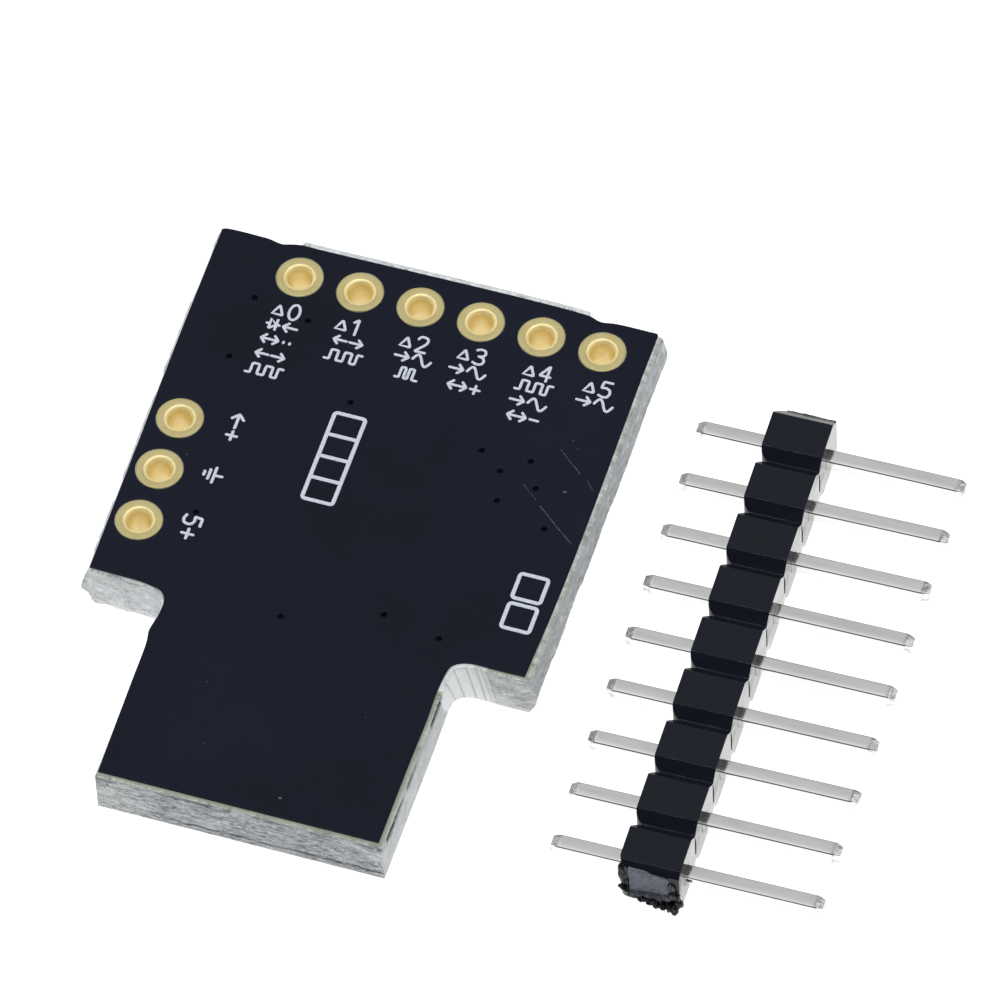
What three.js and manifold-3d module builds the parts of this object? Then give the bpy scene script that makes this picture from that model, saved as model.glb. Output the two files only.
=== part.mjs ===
// A USB-plug microcontroller board, 18.3 x 26 mm, lying label side up on its tallest components,
// with the snapped nine-way pin header strip that is supplied loose beside it.
// Millimetres, +Z up. +X runs along the row of six plated holes, the plug tongue points to -Y,
// z = 0 is the surface that the board and the strip lie on.
import * as THREE from 'three';
import { mergeVertices } from 'three/addons/utils/BufferGeometryUtils.js';
import Module from 'manifold-3d';

const wasm = await Module();
wasm.setup();

// ---------- driving dimensions ----------
const PITCH = 2.54;                 // hole and pin pitch
const COMPONENT_H = 2.2;            // tallest components: regulator, controller, Schottky diode
const BOARD_T = 2.2;                // laminate with both solder masks
const MASK_T = 0.03;                // one solder mask
const Z_COMP = COMPONENT_H;         // component-side face
const Z_LABEL = COMPONENT_H + BOARD_T; // label-side face
const Z_SUB0 = Z_COMP + MASK_T;     // laminate alone
const Z_SUB1 = Z_LABEL - MASK_T;

const HOLE_R = 0.46;                // finished hole
const BARREL_R = 0.535;             // outside of the plating
const DRILL_R = 0.55;               // hole drilled in the laminate
const RING_R = 0.94;                // copper ring round each hole
const RING_WINDOW_R = 0.97;         // opening in the solder mask
const HOLE_SIDES = 16;
const ROW_X = [0, 1, 2, 3, 4, 5].map((k) => k * PITCH);      // signal holes, y = 0
const POWER_X = -2.42;
const POWER_Y = [-7.82, -7.82 - PITCH, -7.82 - 2 * PITCH];   // supply-in, ground, 5 V

const SIDE_RIDGE = 0.36;            // how far the snapped scoring stands proud of the mask edge
const TOP_RIDGE = 0.35;

const TONGUE_L = -0.22, TONGUE_R = 11.64;  // plug tongue sides
const TIP_Y = -24.81;                      // plug tongue end
const TONGUE_MID = (TONGUE_L + TONGUE_R) / 2;
const SHOULDER_Y = -15.78;                 // shoulders beside the tongue

const STRIP_PINS = 9;
const STRIP_H = 2.54;               // insulator, across the strip
const STRIP_D = 2.5;                // insulator, along the pins
const STRIP_NOTCH = 0.45;           // chamfer between segments
const STRIP_ROUND = 0.5;            // rounded corners of the segments on the short-pin side
const STRIP_TORN = 0.31;           // web torn away at the strip's near end
const STRIP_TORN_NOTCH = 0.25;      // what the tear left of the chamfer there
const STRIP_POS = [21.176, -10.554];// middle of the insulator
const STRIP_YAW = THREE.MathUtils.degToRad(1.42);
const PIN_W = 0.64, PIN_L = 11.1, PIN_TIP = 0.3, PIN_TIP_W = 0.44;
const PIN_SHIFT = [1.38, 1.40, 1.38, 1.38, 1.39, 1.36, 1.33, 1.31, 1.32]; // pin middle from insulator middle
const PIN_GAP = 0.02;

// ---------- materials ----------
const mat = (color, roughness, metalness) => new THREE.MeshStandardMaterial({ color, roughness, metalness });
const FR4 = mat(0xc6c9c0, 0.85, 0), MASK = mat(0x20232f, 0.4, 0), GOLD = mat(0xd8c282, 0.3, 0.9);
const TIN = mat(0xc4c6c8, 0.3, 0.95), EPOXY = mat(0x232325, 0.55, 0), HEADER = mat(0x1e1f26, 0.35, 0);
const CERAMIC = mat(0xb59a74, 0.5, 0), ALUMINA = mat(0x2a2a30, 0.45, 0), GLASS = mat(0xb04a28, 0.1, 0);
const LED_BASE = mat(0xe8e6dc, 0.5, 0), LED_GREEN = mat(0xd6e6c0, 0.2, 0), LED_RED = mat(0xf0c8b8, 0.2, 0);

const board = new THREE.Group();
const root = new THREE.Group();
root.add(board);

// ---------- helpers ----------
function bare(geometry) {
  let g = geometry.clone();
  for (const name of Object.keys(g.attributes)) if (name !== 'position') g.deleteAttribute(name);
  g.clearGroups();
  g = mergeVertices(g, 1e-4);
  const p = g.attributes.position.array, index = g.index.array, keep = [];
  let volume = 0;
  for (let i = 0; i < index.length; i += 3) {
    const [a, b, c] = [index[i], index[i + 1], index[i + 2]];
    if (a === b || b === c || a === c) continue;
    keep.push(a, b, c);
    const [A, B, C] = [a, b, c].map((k) => new THREE.Vector3(p[3 * k], p[3 * k + 1], p[3 * k + 2]));
    volume += A.dot(B.cross(C)) / 6;
  }
  if (volume < 0) for (let i = 0; i < keep.length; i += 3) [keep[i + 1], keep[i + 2]] = [keep[i + 2], keep[i + 1]];
  g.setIndex(keep);
  return g;
}
function solid(geometry) {
  const g = bare(geometry);
  return new wasm.Manifold(new wasm.Mesh({
    numProp: 3,
    vertProperties: new Float32Array(g.attributes.position.array),
    triVerts: new Uint32Array(g.index.array),
  }));
}
function geometryOf(manifold) {
  const m = manifold.getMesh(), g = new THREE.BufferGeometry();
  g.setAttribute('position', new THREE.BufferAttribute(new Float32Array(m.vertProperties), 3));
  g.setIndex(new THREE.BufferAttribute(new Uint32Array(m.triVerts), 1));
  g.computeVertexNormals();
  return g;
}
function put(name, geometry, material, parent = board) {
  const g = bare(geometry);
  g.computeVertexNormals();
  const mesh = new THREE.Mesh(g, material);
  mesh.name = name;
  parent.add(mesh);
  return mesh;
}
const polygon = (points) => new THREE.Shape(points.map(([x, y]) => new THREE.Vector2(x, y)));
function slab(points, z0, z1) {     // plan outline, extruded up
  const g = new THREE.ExtrudeGeometry(polygon(points), { depth: z1 - z0, bevelEnabled: false });
  return g.translate(0, 0, z0);
}
function block(x0, x1, y0, y1, z0, z1) {
  return new THREE.BoxGeometry(x1 - x0, y1 - y0, z1 - z0).translate((x0 + x1) / 2, (y0 + y1) / 2, (z0 + z1) / 2);
}
function prismX(points, x0, x1) {   // outline in (y, z), extruded along X
  const g = new THREE.ExtrudeGeometry(polygon(points), { depth: x1 - x0, bevelEnabled: false });
  g.rotateX(Math.PI / 2).rotateZ(Math.PI / 2);
  return g.translate(x0, 0, 0);
}
function prismY(points, y0, y1) {   // outline in (x, z), extruded along Y
  const g = new THREE.ExtrudeGeometry(polygon(points), { depth: y1 - y0, bevelEnabled: false });
  g.rotateX(Math.PI / 2);
  return g.translate(0, y1, 0);
}
function drum(x, y, r, z0, z1) {    // round cutter with the same facets as the plated holes
  const g = new THREE.LatheGeometry([[0, z0], [r, z0], [r, z1], [0, z1]].map(([a, b]) => new THREE.Vector2(a, b)), HOLE_SIDES);
  return g.rotateX(Math.PI / 2).translate(x, y, 0);
}
function moulded(cx, cy, w, l, z0, z1, draft) {  // moulded package body, drafted both ways from its parting line
  const h = (z1 - z0) / 2 - 0.05;
  const a = w / 2 - draft, b = l / 2 - draft;
  const g = new THREE.ExtrudeGeometry(polygon([[-a, -b], [a, -b], [a, b], [-a, b]]),
    { depth: 0.1, bevelEnabled: true, bevelThickness: h, bevelSize: draft, bevelSegments: 1 });
  return g.translate(cx, cy, z0 + h);
}

// ---------- outlines ----------
// solder mask edge on the label side, anticlockwise from the top left corner
const MASK_EDGE = [
  [-3.73, 1.36], [-3.72, -4.0], [-3.65, -9.15], [-3.57, -15.60],
  [-2.28, -15.63], [-1.44, -15.65], [-0.88, -15.74], [-0.51, -15.84], [-0.30, -16.08], [-0.22, -16.45], [-0.24, -16.95],
  [-0.30, -17.30], [-0.36, -17.75], [-0.28, -18.3], [-0.24, -20.4], [-0.18, -23.4], [-0.15, -24.61],
  [11.42, -24.60], [11.42, -20.6], [11.45, -18.6], [11.42, -17.4], [11.47, -16.45], [11.55, -16.03],
  [11.76, -15.80], [12.2, -15.64], [13.5, -15.63], [14.50, -15.61], [14.66, -15.44],
  [14.64, -11.5], [14.65, -6.4], [14.59, -0.5], [14.60, 1.36],
  [14.54, 1.46], [14.23, 1.47], [12.74, 1.45], [12.28, 1.37], [12.02, 1.41], [11.74, 1.51],
  [0.36, 1.51], [-0.46, 1.51], [-0.88, 1.42], [-1.15, 1.34], [-1.43, 1.37], [-1.70, 1.43], [-2.0, 1.45], [-3.6, 1.43],
];
// laminate edge: bare by 0.2 mm at the routed plug, its right side and the shoulders
const LAMINATE_EDGE = [
  [-3.73, 1.36], [-3.72, -4.0], [-3.65, -9.15], [-3.57, SHOULDER_Y + 0.05],
  [-2.28, SHOULDER_Y], [-1.44, SHOULDER_Y - 0.02], [-0.88, -15.86], [-0.51, -15.96], [-0.30, -16.2], [-0.22, -16.5], [-0.24, -16.95],
  [-0.30, -17.30], [-0.36, -17.75], [-0.28, -18.3], [-0.24, -20.4], [-0.20, -23.4], [-0.20, TIP_Y],
  [TONGUE_R, TIP_Y], [TONGUE_R, -20.6], [TONGUE_R, -18.6], [TONGUE_R - 0.02, -17.4], [11.62, -16.45], [11.72, -16.12],
  [11.94, -15.92], [12.34, SHOULDER_Y - 0.02], [13.5, SHOULDER_Y - 0.03], [14.66, SHOULDER_Y - 0.03],
  [14.64, -11.5], [14.65, -6.4], [14.59, -0.5], [14.60, 1.36],
  [14.54, 1.46], [14.23, 1.47], [12.74, 1.45], [12.28, 1.37], [12.02, 1.41], [11.74, 1.51],
  [0.36, 1.51], [-0.46, 1.51], [-0.88, 1.42], [-1.15, 1.34], [-1.43, 1.37], [-1.70, 1.43], [-2.0, 1.45], [-3.6, 1.43],
];
const HOLES = [...ROW_X.map((x) => [x, 0]), ...POWER_Y.map((y) => [POWER_X, y])];

// ---------- laminate ----------
{
  let body = solid(slab(LAMINATE_EDGE, Z_SUB0, Z_SUB1));
  const T = Z_SUB1 - Z_SUB0;
  // snapped V scoring: a ridge at mid thickness along both long sides and the middle of the top edge
  const ridge = (edge, dir, d) => [
    [edge - dir * 0.4, Z_SUB0], [edge, Z_SUB0], [edge + dir * d * 0.86, Z_SUB0 + 0.55], [edge + dir * d, Z_SUB0 + 0.95],
    [edge + dir * d, Z_SUB1 - 0.85], [edge + dir * d * 0.6, Z_SUB1 - 0.25], [edge + dir * 0.02, Z_SUB1], [edge - dir * 0.4, Z_SUB1],
  ];
  const leftLean = Math.atan2(0.16, 17.0);   // the left side leans in a little towards the plug
  body = body.add(solid(prismY(ridge(0, -1, SIDE_RIDGE), -17.12, 0).rotateZ(leftLean).translate(-3.735, 1.42, 0)));
  body = body.add(solid(prismY(ridge(14.62, 1, SIDE_RIDGE), SHOULDER_Y - 0.03, 1.42)));
  body = body.add(solid(prismX(ridge(1.50, 1, TOP_RIDGE), -0.40, 11.72)));
  for (const [x, y] of HOLES) body = body.subtract(solid(drum(x, y, DRILL_R, Z_SUB0 - 1, Z_SUB1 + 1)));
  put('pcb_laminate', geometryOf(body), FR4);
}

// ---------- plated holes ----------
const HOLE_NAMES = ['p0', 'p1', 'p2', 'p3', 'p4', 'p5', 'supply_in', 'ground', '5v'];
HOLES.forEach(([x, y], k) => {
  const ring = [
    [HOLE_R, Z_COMP + 0.12], [HOLE_R + 0.12, Z_COMP], [RING_R, Z_COMP], [RING_R, Z_SUB0], [BARREL_R, Z_SUB0],
    [BARREL_R, Z_SUB1], [RING_R, Z_SUB1], [RING_R, Z_LABEL], [HOLE_R + 0.12, Z_LABEL], [HOLE_R, Z_LABEL - 0.12], [HOLE_R, Z_COMP + 0.12],
  ].map(([r, z]) => new THREE.Vector2(r, z));
  const g = new THREE.LatheGeometry(ring, HOLE_SIDES).rotateX(Math.PI / 2);
  const mesh = put('plated_hole_' + HOLE_NAMES[k], g, GOLD);
  mesh.position.set(x, y, 0);
});

// ---------- USB contacts on the component side of the tongue ----------
const CONTACTS = [   // name, offset from the tongue's middle, width, inner end, outer end
  ['usb_contact_supply', -3.5, 1.4, -17.0, -24.1],
  ['usb_contact_data_minus', -1.0, 1.2, -17.6, -23.2],
  ['usb_contact_data_plus', 1.0, 1.2, -17.6, -23.2],
  ['usb_contact_ground', 3.5, 1.4, -17.0, -24.1],
];
for (const [name, dx, w, y1, y0] of CONTACTS) {
  const x = TONGUE_MID + dx;
  put(name, block(x - w / 2, x + w / 2, y0, y1, Z_COMP, Z_SUB0), GOLD);
}

// ---------- solder masks ----------
{
  let top = solid(slab(MASK_EDGE, Z_SUB1, Z_LABEL));
  let under = solid(slab(MASK_EDGE, Z_COMP, Z_SUB0));
  for (const [x, y] of HOLES) {
    top = top.subtract(solid(drum(x, y, RING_WINDOW_R, Z_SUB1 - 1, Z_LABEL + 1)));
    under = under.subtract(solid(drum(x, y, RING_WINDOW_R, Z_COMP - 1, Z_SUB0 + 1)));
  }
  for (const [, dx, w, y1, y0] of CONTACTS) {
    const x = TONGUE_MID + dx, c = 0.05;
    under = under.subtract(solid(block(x - w / 2 - c, x + w / 2 + c, y0 - c, y1 + c, Z_COMP - 1, Z_SUB0 + 1)));
  }
  put('solder_mask_label_side', geometryOf(top), MASK);
  put('solder_mask_component_side', geometryOf(under), MASK);
}

// ---------- controller: wide eight-lead package ----------
const MCU = [2.65, -6.25];
{
  const [cx, cy] = MCU, half = 2.65;
  put('microcontroller_body', moulded(cx, cy, 2 * half, 5.24, 0, Z_COMP - 0.1, 0.16), EPOXY);
  const t = 0.2, shoulder = 1.05;   // lead thickness, height of the lead where it leaves the body
  let n = 0;
  for (const side of [-1, 1]) for (let k = 0; k < 4; k++) {
    const y = cy + side * (1.5 - k) * 1.27;
    const s = side;
    const x = (d) => cx + s * d;
    const profile = [
      [x(half), shoulder - t / 2], [x(half + 0.42), shoulder - t / 2], [x(half + 0.66), Z_COMP - t], [x(half + 1.3), Z_COMP - t],
      [x(half + 1.3), Z_COMP], [x(half + 0.52), Z_COMP], [x(half + 0.28), shoulder + t / 2], [x(half), shoulder + t / 2],
    ];
    n += 1;
    put('microcontroller_lead_' + n, prismY(profile, y - 0.21, y + 0.21), TIN);
  }
}

// ---------- 5 V regulator: tab package ----------
const REG = [11.0, -8.05];
{
  const [cx, cy] = REG;
  const top = cy + 3.05, bottom = cy - 3.05;
  let body = solid(moulded(cx, cy, 6.5, 6.1, 0, Z_COMP, 0.14));
  const tabPlan = [
    [cx - 2.67, top - 4.6], [cx + 2.67, top - 4.6], [cx + 2.67, top + 0.75], [cx + 2.42, top + 1.05],
    [cx - 2.42, top + 1.05], [cx - 2.67, top + 0.75],
  ];
  const tab = slab(tabPlan, Z_COMP - 0.5, Z_COMP);
  body = body.subtract(solid(slab(tabPlan, Z_COMP - 0.5, Z_COMP + 0.3)));
  put('regulator_body', geometryOf(body), EPOXY);
  put('regulator_tab', tab, TIN);
  const lead = (x, name) => {
    const t = 0.5, z = 1.15, y0 = bottom;
    const profile = [ // (y, z)
      [y0, z - t / 2], [y0 - 0.75, z - t / 2], [y0 - 1.25, Z_COMP - t], [y0 - 2.75, Z_COMP - t],
      [y0 - 2.75, Z_COMP], [y0 - 1.05, Z_COMP], [y0 - 0.55, z + t / 2], [y0, z + t / 2],
    ];
    put(name, prismX(profile, x - 0.38, x + 0.38), TIN);
  };
  lead(cx - 2.28, 'regulator_lead_in');
  lead(cx + 2.28, 'regulator_lead_out');
  put('regulator_centre_stub', block(cx - 0.38, cx + 0.38, bottom - 0.7, bottom, 0.9, 1.4), TIN);
}

// ---------- Schottky diode ----------
{
  const [cx, cy] = [2.75, -12.65];
  put('schottky_diode_body', moulded(cx, cy, 4.3, 2.6, 0, Z_COMP - 0.1, 0.12), EPOXY);
  for (const [s, name] of [[-1, 'schottky_diode_cathode'], [1, 'schottky_diode_anode']]) {
    const x = (d) => cx + s * d;
    const profile = [
      [x(2.15), 0.95], [x(2.5), 0.95], [x(2.62), 1.1], [x(2.62), Z_COMP], [x(1.5), Z_COMP], [x(1.5), Z_COMP - 0.1], [x(2.4), Z_COMP - 0.1], [x(2.4), 1.15], [x(2.15), 1.15],
    ];
    put(name, prismY(profile, cy - 0.72, cy + 0.72), TIN);
  }
}

// ---------- two glass Zener diodes ----------
{
  const r = 0.72, n = 12;
  for (const [name, cx, cy] of [['zener_diode_data_minus', 2.2, -15.45], ['zener_diode_data_plus', 9.3, -15.45]]) {
    const g = new THREE.CylinderGeometry(r, r, 3.5, n).rotateY(Math.PI / n).rotateZ(Math.PI / 2);
    g.rotateX(Math.PI / n);
    g.computeBoundingBox();
    g.translate(cx, cy, Z_COMP - g.boundingBox.max.z);
    put(name, g, GLASS);
  }
}

// ---------- chip parts ----------
const chip = (name, cx, cy, w, l, h, material) => put(name, block(cx - w / 2, cx + w / 2, cy - l / 2, cy + l / 2, Z_COMP - h, Z_COMP), material);
chip('resistor_status_led', 1.2, -2.3, 2.0, 1.25, 0.5, ALUMINA);
chip('resistor_pull_up', 4.4, -2.3, 2.0, 1.25, 0.5, ALUMINA);
chip('resistor_power_led', 8.3, -2.3, 2.0, 1.25, 0.5, ALUMINA);
chip('resistor_data_minus', 4.75, -15.9, 1.25, 2.0, 0.5, ALUMINA);
chip('resistor_data_plus', 6.65, -15.9, 1.25, 2.0, 0.5, ALUMINA);
chip('capacitor_input', -2.25, -14.45, 2.0, 1.25, 0.85, CERAMIC);
chip('capacitor_output', 6.85, -12.1, 1.25, 2.0, 0.85, CERAMIC);
chip('capacitor_controller', 0.6, -10.25, 2.0, 1.25, 0.85, CERAMIC);
for (const [name, cx, cy, along, lens] of [['status_led', -2.55, -3.6, 'y', LED_RED], ['power_led', 12.5, -2.3, 'x', LED_GREEN]]) {
  const [w, l] = along === 'x' ? [2.0, 1.25] : [1.25, 2.0];
  const [lw, ll] = along === 'x' ? [1.1, 1.25] : [1.25, 1.1];
  put(name + '_base', block(cx - w / 2, cx + w / 2, cy - l / 2, cy + l / 2, Z_COMP - 0.35, Z_COMP), LED_BASE);
  const a = lw / 2 - 0.06, b = ll / 2 - 0.06;
  const dome = new THREE.ExtrudeGeometry(polygon([[-a, -b], [a, -b], [a, b], [-a, b]]),
    { depth: 0.29, bevelEnabled: true, bevelThickness: 0.08, bevelSize: 0.06, bevelSegments: 1 });
  const cut = solid(dome.translate(cx, cy, Z_COMP - 0.8)).subtract(solid(block(cx - 2, cx + 2, cy - 2, cy + 2, Z_COMP - 0.35, Z_COMP + 1)));
  put(name + '_lens', geometryOf(cut), lens);
}

// ---------- loose pin header strip ----------
const strip = new THREE.Group();
strip.position.set(STRIP_POS[0], STRIP_POS[1], 0);
strip.rotation.z = STRIP_YAW;
root.add(strip);
{
  const half = PITCH / 2, n = STRIP_NOTCH, end = STRIP_PINS * half;
  const top = [], under = [], round = [];
  for (let k = 0; k < STRIP_PINS; k++) {
    const y = (k - (STRIP_PINS - 1) / 2) * PITCH;
    const near = y - half + (k ? 0 : STRIP_TORN), m = k ? n : STRIP_TORN_NOTCH;
    top.push([near, STRIP_H - m], [near + m, STRIP_H], [y + half - n, STRIP_H]);
    under.push([near, m], [near + m, 0], [y + half - n, 0]);
  }
  top.push([end, STRIP_H - n]);
  under.push([end, n]);
  const profile = prismX([...under, ...top.reverse()], -STRIP_D / 2, STRIP_D / 2);
  for (let k = 0; k < STRIP_PINS; k++) {
    const y = (k - (STRIP_PINS - 1) / 2) * PITCH, r = STRIP_ROUND, x = -STRIP_D / 2;
    const arc = [90, 60, 30, 0].map((a) => THREE.MathUtils.degToRad(a));
    const near = y - half + (k ? 0 : STRIP_TORN);
    for (const a of arc) round.push([x + r - r * Math.cos(a), near + r - r * Math.sin(a)]);
    for (const a of arc.slice().reverse()) round.push([x + r - r * Math.cos(a), y + half - r + r * Math.sin(a)]);
  }
  const plan = round.filter(([px, py], i) => i === 0 || Math.hypot(px - round[i - 1][0], py - round[i - 1][1]) > 1e-6);
  plan.push([STRIP_D / 2, end], [STRIP_D / 2, -end + STRIP_TORN]);
  let body = solid(profile).intersect(solid(slab(plan, -1, STRIP_H + 1)));
  const w = PIN_W / 2 + PIN_GAP;
  for (let k = 0; k < STRIP_PINS; k++) {
    const y = ((STRIP_PINS - 1) / 2 - k) * PITCH;
    body = body.subtract(solid(block(-STRIP_D, STRIP_D, y - w, y + w, STRIP_H / 2 - w, STRIP_H / 2 + w)));
    const a = PIN_TIP_W / 2, size = (PIN_W - PIN_TIP_W) / 2;
    const pin = new THREE.ExtrudeGeometry(polygon([[-a, -a], [a, -a], [a, a], [-a, a]]),
      { depth: PIN_L - 2 * PIN_TIP, bevelEnabled: true, bevelThickness: PIN_TIP, bevelSize: size, bevelSegments: 1 });
    pin.translate(0, 0, -(PIN_L - 2 * PIN_TIP) / 2).rotateY(Math.PI / 2);
    const mesh = put('header_pin_' + (k + 1), pin, TIN, strip);
    mesh.position.set(PIN_SHIFT[k], y, STRIP_H / 2);
  }
  put('header_insulator', geometryOf(body), HEADER, strip);
}

// ---------- origin: bottom middle of everything ----------
root.updateMatrixWorld(true);
const all = new THREE.Box3().setFromObject(root, true);
root.position.set(-(all.min.x + all.max.x) / 2, -(all.min.y + all.max.y) / 2, -all.min.z);
root.updateMatrixWorld(true);

export default root;
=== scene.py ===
import math

import bmesh
import bpy
import numpy as np
from mathutils import Matrix, Vector
from mathutils.geometry import delaunay_2d_cdt
from mathutils.kdtree import KDTree


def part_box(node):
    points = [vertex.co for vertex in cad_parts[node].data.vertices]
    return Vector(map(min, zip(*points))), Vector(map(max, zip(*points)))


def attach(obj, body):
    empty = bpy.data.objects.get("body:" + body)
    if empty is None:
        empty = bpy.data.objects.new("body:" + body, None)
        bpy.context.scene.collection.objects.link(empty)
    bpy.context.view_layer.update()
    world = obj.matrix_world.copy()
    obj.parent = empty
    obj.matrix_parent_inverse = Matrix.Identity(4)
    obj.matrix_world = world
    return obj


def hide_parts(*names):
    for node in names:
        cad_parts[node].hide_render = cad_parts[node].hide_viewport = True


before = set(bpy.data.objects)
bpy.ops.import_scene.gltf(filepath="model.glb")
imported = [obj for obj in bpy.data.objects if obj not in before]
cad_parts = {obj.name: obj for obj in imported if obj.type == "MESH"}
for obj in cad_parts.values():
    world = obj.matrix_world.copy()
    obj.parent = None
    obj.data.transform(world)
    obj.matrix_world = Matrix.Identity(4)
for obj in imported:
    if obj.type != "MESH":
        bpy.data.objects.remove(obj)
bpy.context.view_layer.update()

# ----------------------------------------------------------------------------------------------
# Board frame: millimetres, the first signal hole at x = y = 0, z up from the surface it lies on.
# ----------------------------------------------------------------------------------------------
_lo, _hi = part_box("plated_hole_p0")
OX, OY = (_lo.x + _hi.x) * 500.0, (_lo.y + _hi.y) * 500.0
Z_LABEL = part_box("solder_mask_label_side")[1].z * 1e3
Z_SUB1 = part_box("solder_mask_label_side")[0].z * 1e3
Z_SUB0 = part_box("solder_mask_component_side")[1].z * 1e3
Z_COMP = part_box("solder_mask_component_side")[0].z * 1e3
PITCH = 2.54
RNG = np.random.default_rng(405)


def bx(node):
    """x0, x1, y0, y1, z0, z1 of a CAD node in the board frame, mm."""
    lo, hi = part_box(node)
    return (lo.x * 1e3 - OX, hi.x * 1e3 - OX, lo.y * 1e3 - OY, hi.y * 1e3 - OY, lo.z * 1e3, hi.z * 1e3)


def centre(node):
    b = bx(node)
    return ((b[0] + b[1]) / 2, (b[2] + b[3]) / 2, (b[4] + b[5]) / 2)


HOLE_NODES = ["plated_hole_" + n for n in ("p0", "p1", "p2", "p3", "p4", "p5", "supply_in", "ground", "5v")]
HOLES = [centre(n)[:2] for n in HOLE_NODES]
RING_R = 0.94
WINDOW_R = 0.97
BARREL_R = 0.64
DRILL_R = 0.66
HOLE_R = 0.46

# ----------------------------------------------------------------------------------------------
# Small numeric helpers
# ----------------------------------------------------------------------------------------------


def vnoise(p, seed=0):
    """Value noise from 0 to 1 at points p (n, 3)."""
    p = np.asarray(p, float)
    i = np.floor(p).astype(np.int64)
    f = p - i
    f = f * f * (3 - 2 * f)
    out = np.zeros(len(p))
    for dx in (0, 1):
        for dy in (0, 1):
            for dz in (0, 1):
                n = ((i[:, 0] + dx) * 73856093) ^ ((i[:, 1] + dy) * 19349663) ^ ((i[:, 2] + dz) * 83492791) ^ (seed * 7919 + 17)
                n = ((n ^ (n >> 13)) * 1274126177) & 0x7FFFFFFF
                v = ((n ^ (n >> 15)) & 0xFFFF) / 65535.0
                w = (f[:, 0] if dx else 1 - f[:, 0]) * (f[:, 1] if dy else 1 - f[:, 1]) * (f[:, 2] if dz else 1 - f[:, 2])
                out += v * w
    return out


def fbm(p, octaves=4, seed=0, gain=0.5):
    """Layered value noise, about -1 to 1."""
    p = np.asarray(p, float)
    total, amp, norm = np.zeros(len(p)), 1.0, 0.0
    for k in range(octaves):
        total += amp * (vnoise(p * 2.03**k + 11.3 * k, seed + k) * 2 - 1)
        norm += amp
        amp *= gain
    return total / norm


def smooth(a, b, x):
    t = np.clip((np.asarray(x, float) - a) / (b - a), 0, 1)
    return t * t * (3 - 2 * t)


def seg_dist(p, a, b):
    """Distance from points p (n, 2) to the segment ab."""
    a, b = np.asarray(a, float), np.asarray(b, float)
    d = b - a
    t = np.clip(((p - a) @ d) / max(d @ d, 1e-12), 0, 1)
    return np.linalg.norm(p - a - t[:, None] * d, axis=1)


def line_dist(p, line):
    out = np.full(len(p), 1e9)
    for a, b in zip(line[:-1], line[1:]):
        out = np.minimum(out, seg_dist(p, a, b))
    return out


def inside(p, ring):
    """Which of the points p (n, 2) are inside the closed ring (m, 2)."""
    r = np.asarray(ring, float)
    s = np.roll(r, -1, 0)
    res = np.zeros(len(p), bool)
    for (x0, y0), (x1, y1) in zip(r, s):
        if y0 == y1:
            continue
        hit = ((y0 > p[:, 1]) != (y1 > p[:, 1])) & (p[:, 0] < (x1 - x0) * (p[:, 1] - y0) / (y1 - y0) + x0)
        res ^= hit
    return res


def circle(cx, cy, r, n, phase=0.0):
    a = np.linspace(0, 2 * math.pi, n, endpoint=False) + phase
    return np.stack([cx + r * np.cos(a), cy + r * np.sin(a)], 1)


def rounded_path(points, radius, n=5):
    """An open polyline with its corners rounded."""
    P = [np.asarray(p, float) for p in points]
    out = [P[0]]
    for a, b, c in zip(P[:-2], P[1:-1], P[2:]):
        u, v = a - b, c - b
        lu, lv = np.linalg.norm(u), np.linalg.norm(v)
        if lu < 1e-9 or lv < 1e-9:
            continue
        cut = min(radius, 0.48 * lu, 0.48 * lv)
        s, e = b + u / lu * cut, b + v / lv * cut
        for t in np.linspace(0, 1, n):
            out.append((1 - t) ** 2 * s + 2 * t * (1 - t) * b + t * t * e)
    out.append(P[-1])
    return np.array(out)


# ----------------------------------------------------------------------------------------------
# Mesh helpers: geometry is gathered as (vertices in mm, faces, material index per face)
# ----------------------------------------------------------------------------------------------


class Geo:
    def __init__(self):
        self.v, self.f, self.m = [], [], []
        self.n = 0
        self.attr = []

    def add(self, v, f, m=0, attr=None):
        v = np.asarray(v, float).reshape(-1, 3)
        base = self.n
        self.v.append(v)
        self.f += [tuple(int(i) + base for i in q) for q in f]
        self.m += [m] * len(f) if np.isscalar(m) else list(m)
        tone = np.zeros((len(v), 6))
        if attr is not None:
            attr = np.asarray(attr, float)
            tone[:, : attr.shape[1]] = attr
        self.attr.append(tone)
        self.n += len(v)
        return self

    def join(self, other, m=None):
        v = np.concatenate(other.v)
        return self.add(v, other.f, other.m if m is None else m, np.concatenate(other.attr))


def to_row(v):
    v = np.asarray(v, float).copy()
    v[:, 0] += OX
    v[:, 1] += OY
    return v * 1e-3


def mesh_from(name, geo, weld=0.0, recalc=False):
    v = to_row(np.concatenate(geo.v))
    me = bpy.data.meshes.new(name)
    me.from_pydata([tuple(p) for p in v], [], geo.f)
    me.polygons.foreach_set("material_index", np.array(geo.m, np.int32))
    tones = np.concatenate(geo.attr).astype(np.float32)
    for layer, cols in (("tone", (0, 1, 2)), ("tone2", (3, 4, 5))):
        a = me.color_attributes.new(layer, "FLOAT_COLOR", "POINT")
        rgba = np.ones((len(tones), 4), np.float32)
        for k, c in enumerate(cols):
            rgba[:, k] = tones[:, c] if c < tones.shape[1] else 0.0
        a.data.foreach_set("color", rgba.ravel())
    if weld or recalc:
        bm = bmesh.new()
        bm.from_mesh(me)
        if weld:
            bmesh.ops.remove_doubles(bm, verts=bm.verts, dist=weld * 1e-3)
            bmesh.ops.dissolve_degenerate(bm, edges=bm.edges, dist=1e-9)
        if recalc:
            bmesh.ops.recalc_face_normals(bm, faces=bm.faces)
        bm.to_mesh(me)
        bm.free()
    me.validate()
    me.update()
    return me


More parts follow.
